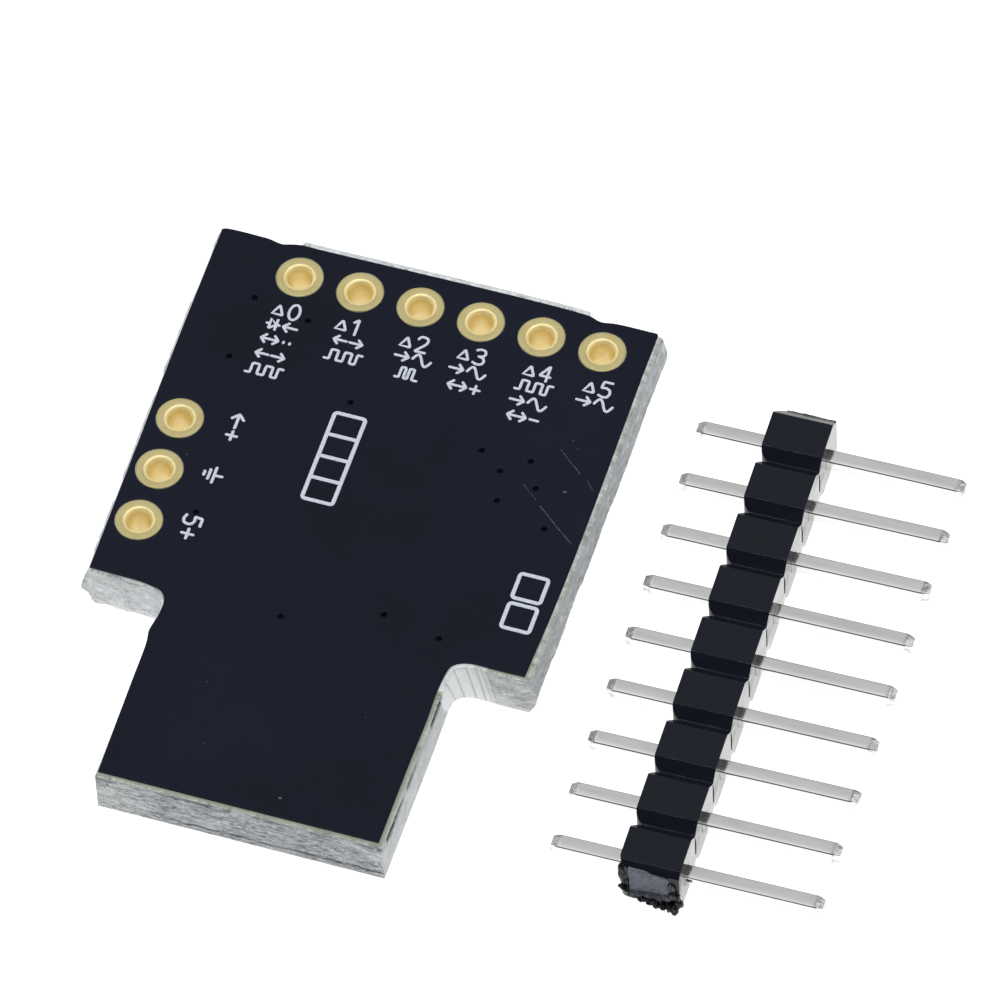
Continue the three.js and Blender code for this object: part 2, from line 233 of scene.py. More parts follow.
def shade(me, angle=40.0):
    """Smooth shading with sharp edges above an angle."""
    me.polygons.foreach_set("use_smooth", np.ones(len(me.polygons), bool))
    me.set_sharp_from_angle(angle=math.radians(angle))


def piece(name, geo, materials, body="board", replaces=(), weld=0.0, recalc=False, angle=40.0, bevel=None, weighted=False):
    me = mesh_from(name, geo, weld, recalc) if isinstance(geo, Geo) else geo
    me.name = name
    ob = bpy.data.objects.new(name, me)
    bpy.context.scene.collection.objects.link(ob)
    for m in materials if isinstance(materials, (list, tuple)) else [materials]:
        me.materials.append(m)
    shade(me, angle)
    if bevel:
        b = ob.modifiers.new("edge", "BEVEL")
        b.width = bevel * 1e-3
        b.segments = 3
        b.limit_method = "ANGLE"
        b.angle_limit = math.radians(28)
        b.harden_normals = False
        b.use_clamp_overlap = True
    if weighted:
        w = ob.modifiers.new("normals", "WEIGHTED_NORMAL")
        w.keep_sharp = True
    if replaces:
        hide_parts(*replaces)
    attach(ob, body)
    return ob


def bm_geo(bm):
    """A bmesh in mm as (vertices, faces)."""
    bm.verts.index_update()
    v = np.array([p.co[:] for p in bm.verts])
    f = [tuple(x.index for x in q.verts) for q in bm.faces]
    bm.free()
    return v, f


def rbox(x0, x1, y0, y1, z0, z1, r=0.05, seg=3, draft=0.0, parting=0.5):
    """A box with rounded edges. With a draft, both halves taper away from the parting height."""
    bm = bmesh.new()
    levels = [z0, z1] if not draft else [z0, z0 + (z1 - z0) * parting, z1]
    rings = []
    for k, z in enumerate(levels):
        d = 0.0 if not draft or k == 1 else draft
        rings.append([bm.verts.new((a, b, z)) for a, b in ((x0 + d, y0 + d), (x1 - d, y0 + d), (x1 - d, y1 - d), (x0 + d, y1 - d))])
    bm.faces.new(rings[0][::-1])
    bm.faces.new(rings[-1])
    for lo, hi in zip(rings[:-1], rings[1:]):
        for i in range(4):
            j = (i + 1) % 4
            bm.faces.new((lo[i], lo[j], hi[j], hi[i]))
    mid = set(rings[1]) if draft else set()
    edges = [e for e in bm.edges if not (e.verts[0] in mid and e.verts[1] in mid)]
    if r > 0:
        bmesh.ops.bevel(bm, geom=edges, offset=r, offset_type="OFFSET", segments=seg, profile=0.5, affect="EDGES", clamp_overlap=True)
    return bm_geo(bm)


def loft(sections, closed_ends=True):
    """Joins closed sections, each (m, 3), into a skin with flat ends."""
    m = len(sections[0])
    v = np.concatenate([np.asarray(s, float) for s in sections])
    f = []
    for k in range(len(sections) - 1):
        a, b = k * m, (k + 1) * m
        for i in range(m):
            j = (i + 1) % m
            f.append((a + i, a + j, b + j, b + i))
    if closed_ends:
        f.append(tuple(range(m))[::-1])
        f.append(tuple((len(sections) - 1) * m + i for i in range(m)))
    return v, f


def rrect(w, h, r, n=3):
    """A rounded rectangle section, centred, anticlockwise (m, 2)."""
    pts = []
    for cx, cy, a0 in ((w / 2 - r, h / 2 - r, 0), (-w / 2 + r, h / 2 - r, 90), (-w / 2 + r, -h / 2 + r, 180), (w / 2 - r, -h / 2 + r, 270)):
        for k in range(n + 1):
            a = math.radians(a0 + 90 * k / n)
            pts.append((cx + r * math.cos(a), cy + r * math.sin(a)))
    return np.array(pts)


def strip_sweep(path, across, w, t, r=0.04):
    """A flat strip along path (n, 3): w wide along `across`, t thick, square ends softened."""
    P = np.asarray(path, float)
    A = np.asarray(across, float)
    tan = np.gradient(P, axis=0)
    tan /= np.linalg.norm(tan, axis=1)[:, None]
    nor = np.cross(tan, A)
    nor /= np.linalg.norm(nor, axis=1)[:, None]
    sec = rrect(w, t, min(r, t * 0.45, w * 0.45))
    secs = []
    for k, (p, n) in enumerate(zip(P, nor)):
        secs.append(p + sec[:, :1] * A + sec[:, 1:] * n)
    soft = min(r, t * 0.4)
    a, b = P[0] - tan[0] * 0.0, P[-1]
    first = a + (sec[:, :1] * (1 - 2 * soft / w)) * A + (sec[:, 1:] * (1 - 2 * soft / t)) * nor[0] - tan[0] * soft
    last = b + (sec[:, :1] * (1 - 2 * soft / w)) * A + (sec[:, 1:] * (1 - 2 * soft / t)) * nor[-1] + tan[-1] * soft
    v, f = loft([first] + secs + [last])
    return v, fix_winding(v, f)


def fix_winding(v, f):
    """Turns every face round if the closed skin is inside out."""
    vol = 0.0
    v = np.asarray(v, float)
    for q in f:
        for i in range(1, len(q) - 1):
            vol += np.dot(v[q[0]], np.cross(v[q[i]], v[q[i + 1]]))
    return [tuple(q[::-1]) for q in f] if vol < 0 else f


def lathe(profile, cx, cy, seg=72, wobble=None):
    """A closed profile of (r, z) turned round a vertical axis at (cx, cy). Points on the axis aren't needed."""
    P = np.asarray(profile, float)
    a = np.linspace(0, 2 * math.pi, seg, endpoint=False)
    v = []
    for k, (r, z) in enumerate(P):
        rr = np.full(seg, r) if wobble is None else wobble(r, z, a)
        v.append(np.stack([cx + rr * np.cos(a), cy + rr * np.sin(a), np.full(seg, z)], 1))
    v = np.concatenate(v)
    f = []
    n = len(P)
    for k in range(n):
        k2 = (k + 1) % n
        for i in range(seg):
            j = (i + 1) % seg
            f.append((k * seg + i, k * seg + j, k2 * seg + j, k2 * seg + i))
    return v, fix_winding(v, f)


def sheet_shell(tri, top, bottom):
    """A closed shell from a flat triangulation (anticlockwise from above) and its two surfaces."""
    n = len(top)
    f = [tuple(t) for t in tri] + [(t[0] + n, t[2] + n, t[1] + n) for t in tri]
    seen = {}
    for a, b, c in tri:
        for e in ((a, b), (b, c), (c, a)):
            seen[e] = True
    for a, b in list(seen):
        if (b, a) not in seen:
            f.append((b, a, a + n, b + n))
    return np.concatenate([top, bottom]), f


def triangulate(points, rings, outer, holes):
    """Constrained triangulation: every ring is kept, triangles outside `outer` or inside a hole ring dropped."""
    pts, edges = [], []
    for r in rings:
        base = len(pts)
        pts += [tuple(p) for p in r]
        edges += [(base + i, base + (i + 1) % len(r)) for i in range(len(r))]
    pts += [tuple(p) for p in points]
    res = delaunay_2d_cdt([Vector(p) for p in pts], edges, [], 0, 1e-6, False)
    V = np.array([p[:] for p in res[0]])
    T = np.array([tuple(t) for t in res[2]])
    c = V[T].mean(axis=1)
    keep = inside(c, outer)
    for h in holes:
        keep &= ~inside(c, h)
    T = T[keep]
    a, b, d = V[T[:, 0]], V[T[:, 1]], V[T[:, 2]]
    area = (b[:, 0] - a[:, 0]) * (d[:, 1] - a[:, 1]) - (b[:, 1] - a[:, 1]) * (d[:, 0] - a[:, 0])
    T[area < 0] = T[area < 0][:, ::-1]
    T = T[np.abs(area) > 1e-10]
    used = np.unique(T)
    remap = np.full(len(V), -1)
    remap[used] = np.arange(len(used))
    return V[used], remap[T]


# ----------------------------------------------------------------------------------------------
# Materials
# ----------------------------------------------------------------------------------------------


def lin(r, g, b):
    """sRGB 0-255 to linear, with alpha."""
    out = []
    for c in (r, g, b):
        c /= 255.0
        out.append(c / 12.92 if c <= 0.04045 else ((c + 0.055) / 1.055) ** 2.4)
    return (*out, 1.0)


class Mat:
    """A small builder round one Principled material. Coordinates are millimetres in the row frame."""

    def __init__(self, name, **sockets):
        self.m = bpy.data.materials.new(name)
        self.m.use_nodes = True
        self.t = self.m.node_tree
        self.b = self.t.nodes["Principled BSDF"]
        for k, v in sockets.items():
            self.b.inputs[k.replace("_", " ")].default_value = v
        tc = self.node("ShaderNodeTexCoord")
        sc = self.node("ShaderNodeVectorMath", operation="SCALE")
        sc.inputs["Scale"].default_value = 1000.0
        self.link(tc.outputs["Object"], sc.inputs[0])
        self.mm = sc.outputs[0]

    def node(self, kind, **props):
        n = self.t.nodes.new(kind)
        for k, v in props.items():
            setattr(n, k, v)
        return n

    def link(self, a, b):
        self.t.links.new(a, b)

    def put(self, value, sock):
        if isinstance(value, bpy.types.NodeSocket):
            self.link(value, sock)
        else:
            sock.default_value = value

    def stretch(self, scale=(1, 1, 1), rot=(0, 0, 0)):
        n = self.node("ShaderNodeMapping")
        self.link(self.mm, n.inputs["Vector"])
        n.inputs["Scale"].default_value = scale
        n.inputs["Rotation"].default_value = rot
        return n.outputs[0]

    def noise(self, scale, detail=3.0, rough=0.55, vec=None, distortion=0.0):
        n = self.node("ShaderNodeTexNoise")
        n.inputs["Scale"].default_value = scale
        n.inputs["Detail"].default_value = detail
        n.inputs["Roughness"].default_value = rough
        n.inputs["Distortion"].default_value = distortion
        self.link(vec if vec is not None else self.mm, n.inputs["Vector"])
        return n.outputs["Fac"]

    def voronoi(self, scale, vec=None, feature="F1", randomness=1.0):
        n = self.node("ShaderNodeTexVoronoi", feature=feature)
        n.inputs["Scale"].default_value = scale
        n.inputs["Randomness"].default_value = randomness
        self.link(vec if vec is not None else self.mm, n.inputs["Vector"])
        return n.outputs["Distance"]

    def math(self, op, a, b=0.0, clamp=False):
        n = self.node("ShaderNodeMath", operation=op, use_clamp=clamp)
        self.put(a, n.inputs[0])
        self.put(b, n.inputs[1])
        return n.outputs[0]

    def remap(self, x, a, b, c=0.0, d=1.0):
        n = self.node("ShaderNodeMapRange", clamp=True)
        self.put(x, n.inputs["Value"])
        for k, v in zip(("From Min", "From Max", "To Min", "To Max"), (a, b, c, d)):
            n.inputs[k].default_value = v
        return n.outputs[0]

    def mix(self, fac, a, b, mode="MIX"):
        n = self.node("ShaderNodeMix", data_type="RGBA", blend_type=mode)
        self.put(fac, n.inputs[0])
        self.put(a, n.inputs[6])
        self.put(b, n.inputs[7])
        return n.outputs[2]

    def attr(self):
        """The six painted tones: three in each colour layer."""
        out = []
        for name in ("tone", "tone2"):
            n = self.node("ShaderNodeAttribute", attribute_name=name)
            s = self.node("ShaderNodeSeparateColor")
            self.link(n.outputs["Color"], s.inputs[0])
            out += [s.outputs[0], s.outputs[1], s.outputs[2]]
        return out

    def axis(self, which):
        s = self.node("ShaderNodeSeparateXYZ")
        self.link(self.mm, s.inputs[0])
        return s.outputs[which]

    def bump(self, height, strength=1.0, distance=0.02, normal=None):
        """distance in mm."""
        n = self.node("ShaderNodeBump")
        n.inputs["Strength"].default_value = strength
        n.inputs["Distance"].default_value = distance * 1e-3
        self.link(height, n.inputs["Height"])
        if normal is not None:
            self.link(normal, n.inputs["Normal"])
        return n.outputs[0]

    def done(self, color=None, rough=None, normal=None, metal=None):
        if color is not None:
            self.put(color, self.b.inputs["Base Color"])
        if rough is not None:
            self.put(rough, self.b.inputs["Roughness"])
        if normal is not None:
            self.put(normal, self.b.inputs["Normal"])
        if metal is not None:
            self.put(metal, self.b.inputs["Metallic"])
        return self.m


def mat_mask():
    s = Mat("solder_mask_resin", **{"Specular IOR Level": 0.15})
    patch = s.noise(0.16, 3, 0.55)
    fine = s.noise(7.0, 3, 0.6)
    grain = s.noise(38.0, 2, 0.6)
    dust = s.remap(s.voronoi(1.15), 0.0, 0.030, 1.0, 0.0)
    dust2 = s.remap(s.voronoi(2.6), 0.0, 0.028, 1.0, 0.0)
    dusty = s.math("MULTIPLY", s.math("ADD", dust, dust2, True), s.remap(s.noise(0.35, 2), 0.45, 0.65))
    base = s.mix(s.remap(patch, 0.3, 0.7), lin(11, 15, 26), lin(15, 20, 33))
    base = s.mix(s.math("MULTIPLY", s.remap(fine, 0.45, 0.8), 0.3), base, lin(15, 20, 33))
    base = s.mix(s.math("MULTIPLY", dusty, 0.35), base, lin(60, 64, 72))
    rough = s.remap(s.math("ADD", s.math("MULTIPLY", patch, 0.7), s.math("MULTIPLY", fine, 0.3)), 0.3, 0.7, 0.31, 0.42)
    n = s.bump(grain, 0.35, 0.006)
    n = s.bump(fine, 0.5, 0.010, n)
    return s.done(base, rough, n)


def mat_laminate():
    """Bare glass-epoxy. Tones: grey level, beige resin, fibre whitening with painted highlight and painted light in
    places, soiling with painted shade, length of the layer streaks.
    """
    s = Mat("glass_epoxy_laminate", **{"Specular IOR Level": 0.3})
    grey, beige, white, dirt_and_shade, streak, _ = s.attr()
    wave = s.noise(1.0, 3, 0.6, s.stretch((0.75, 0.75, 8.5)), 0.35)
    line = s.remap(s.math("ABSOLUTE", s.math("SUBTRACT", wave, 0.5)), 0.004, 0.024, 1.0, 0.0)
    wave2 = s.noise(1.0, 3, 0.6, s.stretch((1.9, 1.9, 19.0)), 0.5)
    line2 = s.remap(s.math("ABSOLUTE", s.math("SUBTRACT", wave2, 0.52)), 0.003, 0.028, 1.0, 0.0)
    lines = s.math("MAXIMUM", s.math("MULTIPLY", line, 1.0), s.math("MULTIPLY", line2, 0.85))
    lines = s.math("MULTIPLY", s.math("MULTIPLY", lines, streak), s.remap(s.noise(1.1, 2), 0.36, 0.54, 0.45, 1.0))
    layers = s.noise(1.0, 4, 0.65, s.stretch((1.6, 1.6, 15.0)))
    flecks = s.noise(8.0, 4, 0.7)
    base = s.mix(grey, lin(140, 146, 149), lin(214, 219, 222))
    base = s.mix(s.math("MULTIPLY", s.remap(layers, 0.40, 0.66), 0.5), base, lin(230, 235, 237))
    base = s.mix(s.math("MULTIPLY", s.remap(flecks, 0.56, 0.76), 0.40), base, lin(136, 142, 145))
    base = s.mix(s.math("MULTIPLY", s.remap(flecks, 0.42, 0.28), 0.40), base, lin(232, 235, 236))
    base = s.mix(white, base, lin(251, 253, 254))
    base = s.mix(s.math("MULTIPLY", lines, 0.90), base, lin(52, 56, 56))
    base = s.mix(beige, base, s.mix(s.noise(3.0, 4, 0.65), lin(76, 80, 60), lin(126, 129, 103)))
    # near-black mix: real soiling, and painted shade in steps, hollows and under the plug's edge
    base = s.mix(dirt_and_shade, base, lin(14, 15, 15))
    rough = s.remap(flecks, 0.3, 0.7, 0.50, 0.85)
    n = s.bump(flecks, 0.7, 0.03)
    n = s.bump(layers, 0.5, 0.03, n)
    n = s.bump(s.math("SUBTRACT", 1.0, lines), 0.8, 0.03, n)
    return s.done(base, rough, n)


def mat_gold(name="gold_plating", metal=1.0, c0=lin(246, 230, 166), c1=lin(252, 239, 180), c2=lin(218, 201, 132), rough=(0.46, 0.58), dents=1.0):
    s = Mat(name, Metallic=metal)
    a = s.noise(1.4, 3, 0.6)
    b = s.noise(16.0, 3, 0.6)
    base = s.mix(s.remap(a, 0.35, 0.65), c0, c1)
    base = s.mix(s.math("MULTIPLY", s.remap(b, 0.55, 0.75), 0.35), base, c2)
    rough = s.remap(b, 0.3, 0.75, *rough)
    n = s.bump(b, 0.4 * dents, 0.012)
    n = s.bump(s.noise(55.0, 2), 0.2 * dents, 0.003, n)
    return s.done(base, rough, n)


def mat_pin():
    s = Mat("bright_tin_pin", Metallic=1.0)
    long = s.noise(1.0, 3, 0.6, s.stretch((0.35, 2.2, 2.2)))
    fine = s.noise(24.0, 3, 0.6)
    scuff = s.noise(1.0, 3, 0.7, s.stretch((5.0, 16.0, 16.0)))
    base = s.mix(s.remap(long, 0.35, 0.65), lin(228, 228, 228), lin(240, 240, 240))
    base = s.mix(s.math("MULTIPLY", s.remap(scuff, 0.6, 0.8), 0.3), base, lin(190, 190, 188))
    rough = s.remap(scuff, 0.3, 0.7, 0.08, 0.17)
    cropped, *_ = s.attr()     # the cut tips are dented
    dent = s.noise(4.2, 3, 0.6)
    rough = s.math("ADD", rough, s.math("MULTIPLY", cropped, 0.08), True)
    base = s.mix(s.math("MULTIPLY", cropped, s.remap(dent, 0.52, 0.6)), base, lin(196, 196, 196))
    n = s.bump(long, 0.12, 0.010)
    n = s.bump(fine, 0.08, 0.002, n)
    n = s.bump(s.math("MULTIPLY", dent, cropped), 1.0, 0.055, n)
    return s.done(base, rough, n)


def mat_tin(name, tint=(226, 228, 230), rough=(0.16, 0.32), stretch=None):
    s = Mat(name, Metallic=1.0)
    a = s.noise(3.0, 4, 0.6, stretch and s.stretch(stretch))
    b = s.noise(22.0, 3, 0.6)
    base = s.mix(s.remap(a, 0.35, 0.7), lin(*tint), lin(*[int(c * 0.86) for c in tint]))
    base = s.mix(s.math("MULTIPLY", s.remap(b, 0.6, 0.85), 0.4), base, lin(150, 150, 150))
    r = s.remap(s.math("ADD", s.math("MULTIPLY", a, 0.6), s.math("MULTIPLY", b, 0.4)), 0.3, 0.7, *rough)
    n = s.bump(b, 0.3, 0.008)
    n = s.bump(a, 0.4, 0.02, n)
    return s.done(base, r, n)


def mat_epoxy():
    s = Mat("moulded_epoxy", **{"Specular IOR Level": 0.45})
    a = s.noise(14.0, 4, 0.7)
    b = s.noise(45.0, 3, 0.7)
    c = s.noise(0.8, 2)
    base = s.mix(s.remap(c, 0.3, 0.7), lin(30, 30, 32), lin(40, 40, 42))
    base = s.mix(s.math("MULTIPLY", s.remap(b, 0.62, 0.85), 0.5), base, lin(74, 74, 76))
    rough = s.remap(a, 0.3, 0.7, 0.48, 0.68)
    n = s.bump(b, 0.6, 0.012)
    n = s.bump(a, 0.4, 0.018, n)
    return s.done(base, rough, n)


def mat_header(name="header_nylon", level=0.22, gloss=(0.20, 0.33), dents=0.02, painted_sheen=0.0, coat=0.0):
    """Moulded header nylon. Tones: whitened tear, scuff, dark."""
    s = Mat(name, **{"Specular IOR Level": level, "Coat Weight": coat})
    tear, scuff, dark, *_ = s.attr()
    a = s.noise(1.6, 4, 0.6)
    b = s.noise(26.0, 3, 0.65)
    base = s.mix(s.remap(a, 0.3, 0.7), lin(13, 17, 23), lin(16, 19, 31))
    spots = s.remap(s.voronoi(0.72), 0.0, 0.040, 1.0, 0.0)
    base = s.mix(s.math("MULTIPLY", spots, 0.30), base, lin(70, 72, 80))
    # painted highlight: light patches, used only by the copy for the narrow bevel faces along each block's near top
    # edge
    base = s.mix(s.math("MULTIPLY", s.remap(s.noise(2.2, 4, 0.65), 0.35, 0.6), painted_sheen), base, lin(132, 134, 142))
    base = s.mix(scuff, base, lin(120, 122, 128))
    torn = s.mix(s.remap(s.noise(5.0, 4, 0.65), 0.35, 0.7), lin(74, 79, 90), lin(112, 117, 127))
    base = s.mix(tear, base, torn)
    base = s.mix(dark, base, lin(8, 8, 10))
    rough = s.remap(s.math("ADD", s.math("MULTIPLY", a, 0.6), s.math("MULTIPLY", b, 0.4)), 0.3, 0.7, *gloss)
    rough = s.math("ADD", rough, s.math("MULTIPLY", tear, 0.25), True)
    n = s.bump(b, 0.22, 0.003)
    n = s.bump(a, 0.30, dents, n)
    return s.done(base, rough, n)


def mat_silk():
    s = Mat("legend_ink", **{"Specular IOR Level": 0.35})
    a = s.noise(9.0, 3, 0.6)
    b = s.noise(30.0, 3, 0.6)
    base = s.mix(s.remap(a, 0.3, 0.7), lin(172, 177, 190), lin(190, 195, 206))
    base = s.mix(s.math("MULTIPLY", s.remap(b, 0.62, 0.8), 0.5), base, lin(128, 133, 148))
    return s.done(base, s.remap(b, 0.3, 0.7, 0.45, 0.7), s.bump(b, 0.5, 0.008))


def mat_scratch():
    s = Mat("scuffed_resin", **{"Specular IOR Level": 0.3})
    a = s.noise(11.0, 3, 0.6)
    base = s.mix(s.remap(a, 0.35, 0.65), lin(34, 38, 48), lin(96, 100, 112))
    return s.done(base, 0.6, s.bump(a, 0.4, 0.005))


def mat_ceramic(name, c0, c1, rough=(0.35, 0.6)):
    s = Mat(name, **{"Specular IOR Level": 0.45})
    a = s.noise(6.0, 4, 0.6)
    b = s.noise(30.0, 3, 0.6)
    base = s.mix(s.remap(a, 0.3, 0.7), lin(*c0), lin(*c1))
    base = s.mix(s.math("MULTIPLY", s.remap(b, 0.6, 0.8), 0.3), base, lin(*[int(c * 0.7) for c in c0]))
    return s.done(base, s.remap(b, 0.3, 0.7, *rough), s.bump(b, 0.4, 0.008))


def mat_lens(name, c0, c1):
    s = Mat(name, **{"Transmission Weight": 0.55, "IOR": 1.5, "Coat Weight": 0.3, "Coat Roughness": 0.08})
    a = s.noise(3.0, 3, 0.6)
    b = s.noise(26.0, 2, 0.6)
    base = s.mix(s.remap(a, 0.35, 0.65), lin(*c0), lin(*c1))
    return s.done(base, s.remap(b, 0.3, 0.7, 0.08, 0.2), s.bump(b, 0.25, 0.006))


def mat_glass():
    s = Mat("diode_glass_body", **{"Transmission Weight": 0.85, "IOR": 1.5})
    a = s.noise(2.0, 3, 0.6)
    b = s.noise(20.0, 2, 0.6)
    base = s.mix(s.remap(a, 0.35, 0.65), lin(236, 150, 96), lin(246, 186, 140))
    return s.done(base, s.remap(b, 0.3, 0.7, 0.04, 0.12), s.bump(b, 0.2, 0.006))


MASK = mat_mask()
FR4 = mat_laminate()
GOLD = mat_gold()
BARREL = mat_gold("gold_barrel", 0.45, lin(246, 226, 158), lin(252, 236, 178), lin(240, 214, 140), (0.28, 0.36), 0.12)
PIN = mat_pin()
TIN = mat_tin("tinned_copper_lead", stretch=(3.0, 3.0, 3.0))
SOLDER = mat_tin("reflowed_solder", (216, 218, 222), (0.10, 0.30))
EPOXY = mat_epoxy()
NYLON = mat_header()
# a copy with a painted highlight, for the narrow bevel faces along each block's near top edge
NYLON_HIGHLIT_RIM = mat_header("header_nylon_painted_highlight", 0.22, (0.25, 0.4), 0.02, 0.9)
NYLON_SIDE = mat_header("header_nylon_polished", 1.0, (0.10, 0.30), 0.06, coat=0.55)
SILK = mat_silk()
SCRATCH = mat_scratch()
ALUMINA = mat_ceramic("alumina_white", (214, 214, 208), (232, 232, 226))
OVERGLAZE = mat_ceramic("resistor_overglaze", (20, 20, 22), (32, 32, 35), (0.22, 0.4))
TAN = mat_ceramic("capacitor_ceramic", (150, 118, 84), (176, 144, 106))
LED_WHITE = mat_ceramic("led_base_resin", (226, 224, 212), (240, 238, 228))
LENS_RED = mat_lens("led_lens_red", (240, 190, 178), (250, 214, 204))
LENS_GREEN = mat_lens("led_lens_green", (214, 232, 190), (230, 244, 212))
GLASS = mat_glass()
SLUG = mat_tin("diode_copper_slug", (206, 120, 70), (0.25, 0.4))

# ----------------------------------------------------------------------------------------------
# Outlines, repeated from the part's own source (board frame, mm, anticlockwise)
# ----------------------------------------------------------------------------------------------
SHOULDER_Y = -15.78
TONGUE_R = 11.64
TIP_Y = -24.81
MASK_EDGE = [
    [-3.73, 1.36], [-3.72, -4.0], [-3.65, -9.15], [-3.57, -15.60],
    [-2.28, -15.63], [-1.44, -15.65], [-0.88, -15.74], [-0.51, -15.84], [-0.30, -16.08], [-0.22, -16.45], [-0.24, -16.95],
    [-0.30, -17.30], [-0.36, -17.75], [-0.28, -18.3], [-0.24, -20.4], [-0.18, -23.4], [-0.15, -24.61],
    [11.42, -24.60], [11.42, -20.6], [11.45, -18.6], [11.42, -17.4], [11.47, -16.45], [11.55, -16.03],
    [11.76, -15.80], [12.2, -15.64], [13.5, -15.63], [14.50, -15.61],
    [14.64, -11.5], [14.65, -6.4], [14.59, -0.5], [14.60, 1.36],
    [14.54, 1.46], [14.23, 1.47], [12.74, 1.45], [12.28, 1.37], [12.02, 1.41], [11.74, 1.51],
    [0.36, 1.51], [-0.46, 1.51], [-0.88, 1.42], [-1.15, 1.34], [-1.43, 1.37], [-1.70, 1.43], [-2.0, 1.45], [-3.6, 1.43],
]
LAMINATE_EDGE = [
    [-3.73, 1.36], [-3.72, -4.0], [-3.65, -9.15], [-3.57, SHOULDER_Y + 0.05],
    [-2.28, SHOULDER_Y], [-1.44, SHOULDER_Y - 0.02], [-0.88, -15.86], [-0.51, -15.96], [-0.30, -16.2], [-0.22, -16.5], [-0.24, -16.95],
    [-0.30, -17.30], [-0.36, -17.75], [-0.28, -18.3], [-0.24, -20.4], [-0.20, -23.4], [-0.20, TIP_Y],
    [TONGUE_R, TIP_Y], [TONGUE_R, -20.6], [TONGUE_R, -18.6], [TONGUE_R - 0.02, -17.4], [11.62, -16.45], [11.72, -16.12],
    [11.94, -15.92], [12.34, SHOULDER_Y - 0.02], [13.5, SHOULDER_Y - 0.03], [14.66, SHOULDER_Y - 0.03],
    [14.64, -11.5], [14.65, -6.4], [14.59, -0.5], [14.60, 1.36],
    [14.54, 1.46], [14.23, 1.47], [12.74, 1.45], [12.28, 1.37], [12.02, 1.41], [11.74, 1.51],
    [0.36, 1.51], [-0.46, 1.51], [-0.88, 1.42], [-1.15, 1.34], [-1.43, 1.37], [-1.70, 1.43], [-2.0, 1.45], [-3.6, 1.43],
]
CORNERS = [0, 3, 16, 17, 26, 30]
VIAS = [
    (-1.41, -1.44), (0.98, -1.91), (-1.5, -4.42), (3.85, -5.17), (9.56, -5.86), (11.59, -5.81), (10.56, -6.60),
    (12.17, -6.99), (10.88, -7.98), (-0.37, -11.89), (13.09, -8.73), (8.28, -14.40), (4.40, -15.64), (10.70, -14.86),
]


def spline_run(P, step):
    """Centripetal Catmull-Rom through P (n, k), sampled about every step; the same parameters for every column."""
    P = np.asarray(P, float)
    n = len(P)
    out, owner = [], []
    ext = np.concatenate([[2 * P[0] - P[1]], P, [2 * P[-1] - P[-2]]])
    for i in range(n - 1):
        p0, p1, p2, p3 = ext[i], ext[i + 1], ext[i + 2], ext[i + 3]
        L = np.linalg.norm((p2 - p1)[:2])
        m = max(2, int(math.ceil(L / step)))
        d01 = max(np.linalg.norm((p1 - p0)[:2]), 1e-6) ** 0.5
        d12 = max(L, 1e-6) ** 0.5
        d23 = max(np.linalg.norm((p3 - p2)[:2]), 1e-6) ** 0.5
        m1 = (p1 - p0) / d01 - (p2 - p0) / (d01 + d12) + (p2 - p1) / d12
        m2 = (p2 - p1) / d12 - (p3 - p1) / (d12 + d23) + (p3 - p2) / d23
        m1, m2 = m1 * d12, m2 * d12
        for t in np.linspace(0, 1, m, endpoint=False):
            h = (2 * t**3 - 3 * t**2 + 1, t**3 - 2 * t**2 + t, -2 * t**3 + 3 * t**2, t**3 - t**2)
            out.append(h[0] * p1 + h[1] * m1 + h[2] * p2 + h[3] * m2)
            owner.append(i + t)
    out.append(P[-1])
    owner.append(n - 1)
    return np.array(out), np.array(owner)


def perimeter(step):
    """Runs between sharp corners. Each has mask edge, laminate edge, outward normal, kind and distance to its ends."""
    both = np.concatenate([np.array(LAMINATE_EDGE), np.array(MASK_EDGE)], 1)
    runs = []
    for k, a in enumerate(CORNERS):
        b = CORNERS[(k + 1) % len(CORNERS)]
        idx = list(range(a, b + 1)) if b > a else list(range(a, len(both))) + [b]
        S, own = spline_run(both[idx], step * (0.55 if k in (1, 3) else 1.0))
        Lm, Mm = S[:, :2], S[:, 2:]
        tan = np.gradient(Lm, axis=0)
        tan /= np.maximum(np.linalg.norm(tan, axis=1), 1e-9)[:, None]
        nor = np.stack([tan[:, 1], -tan[:, 0]], 1)
        d = np.concatenate([[0], np.cumsum(np.linalg.norm(np.diff(Lm, axis=0), axis=1))])
        runs.append({"L": Lm, "M": Mm, "n": nor, "s": d, "end": np.minimum(d, d[-1] - d), "kind": ("left", "notch_left", "tip", "notch_right", "right", "top")[k]})
    return runs


# ----------------------------------------------------------------------------------------------
# Laminate
# ----------------------------------------------------------------------------------------------
PROFILES = {   # depth under the label face, how far the snapped edge stands out
    "right": [(0, 0), (0.05, 0.10), (0.14, 0.20), (0.40, 0.255), (0.98, 0.37), (1.45, 0.34), (1.85, 0.17), (2.2, 0)],
    "left": [(0, 0), (0.25, 0.08), (0.62, 0.22), (1.19, 0.377), (1.47, 0.37), (1.88, 0.33), (2.02, 0.17), (2.2, 0)],
    "top": [(0, 0), (0.04, 0.14), (0.10, 0.24), (0.45, 0.30), (0.90, 0.36), (1.45, 0.34), (1.85, 0.16), (2.2, 0)],
}


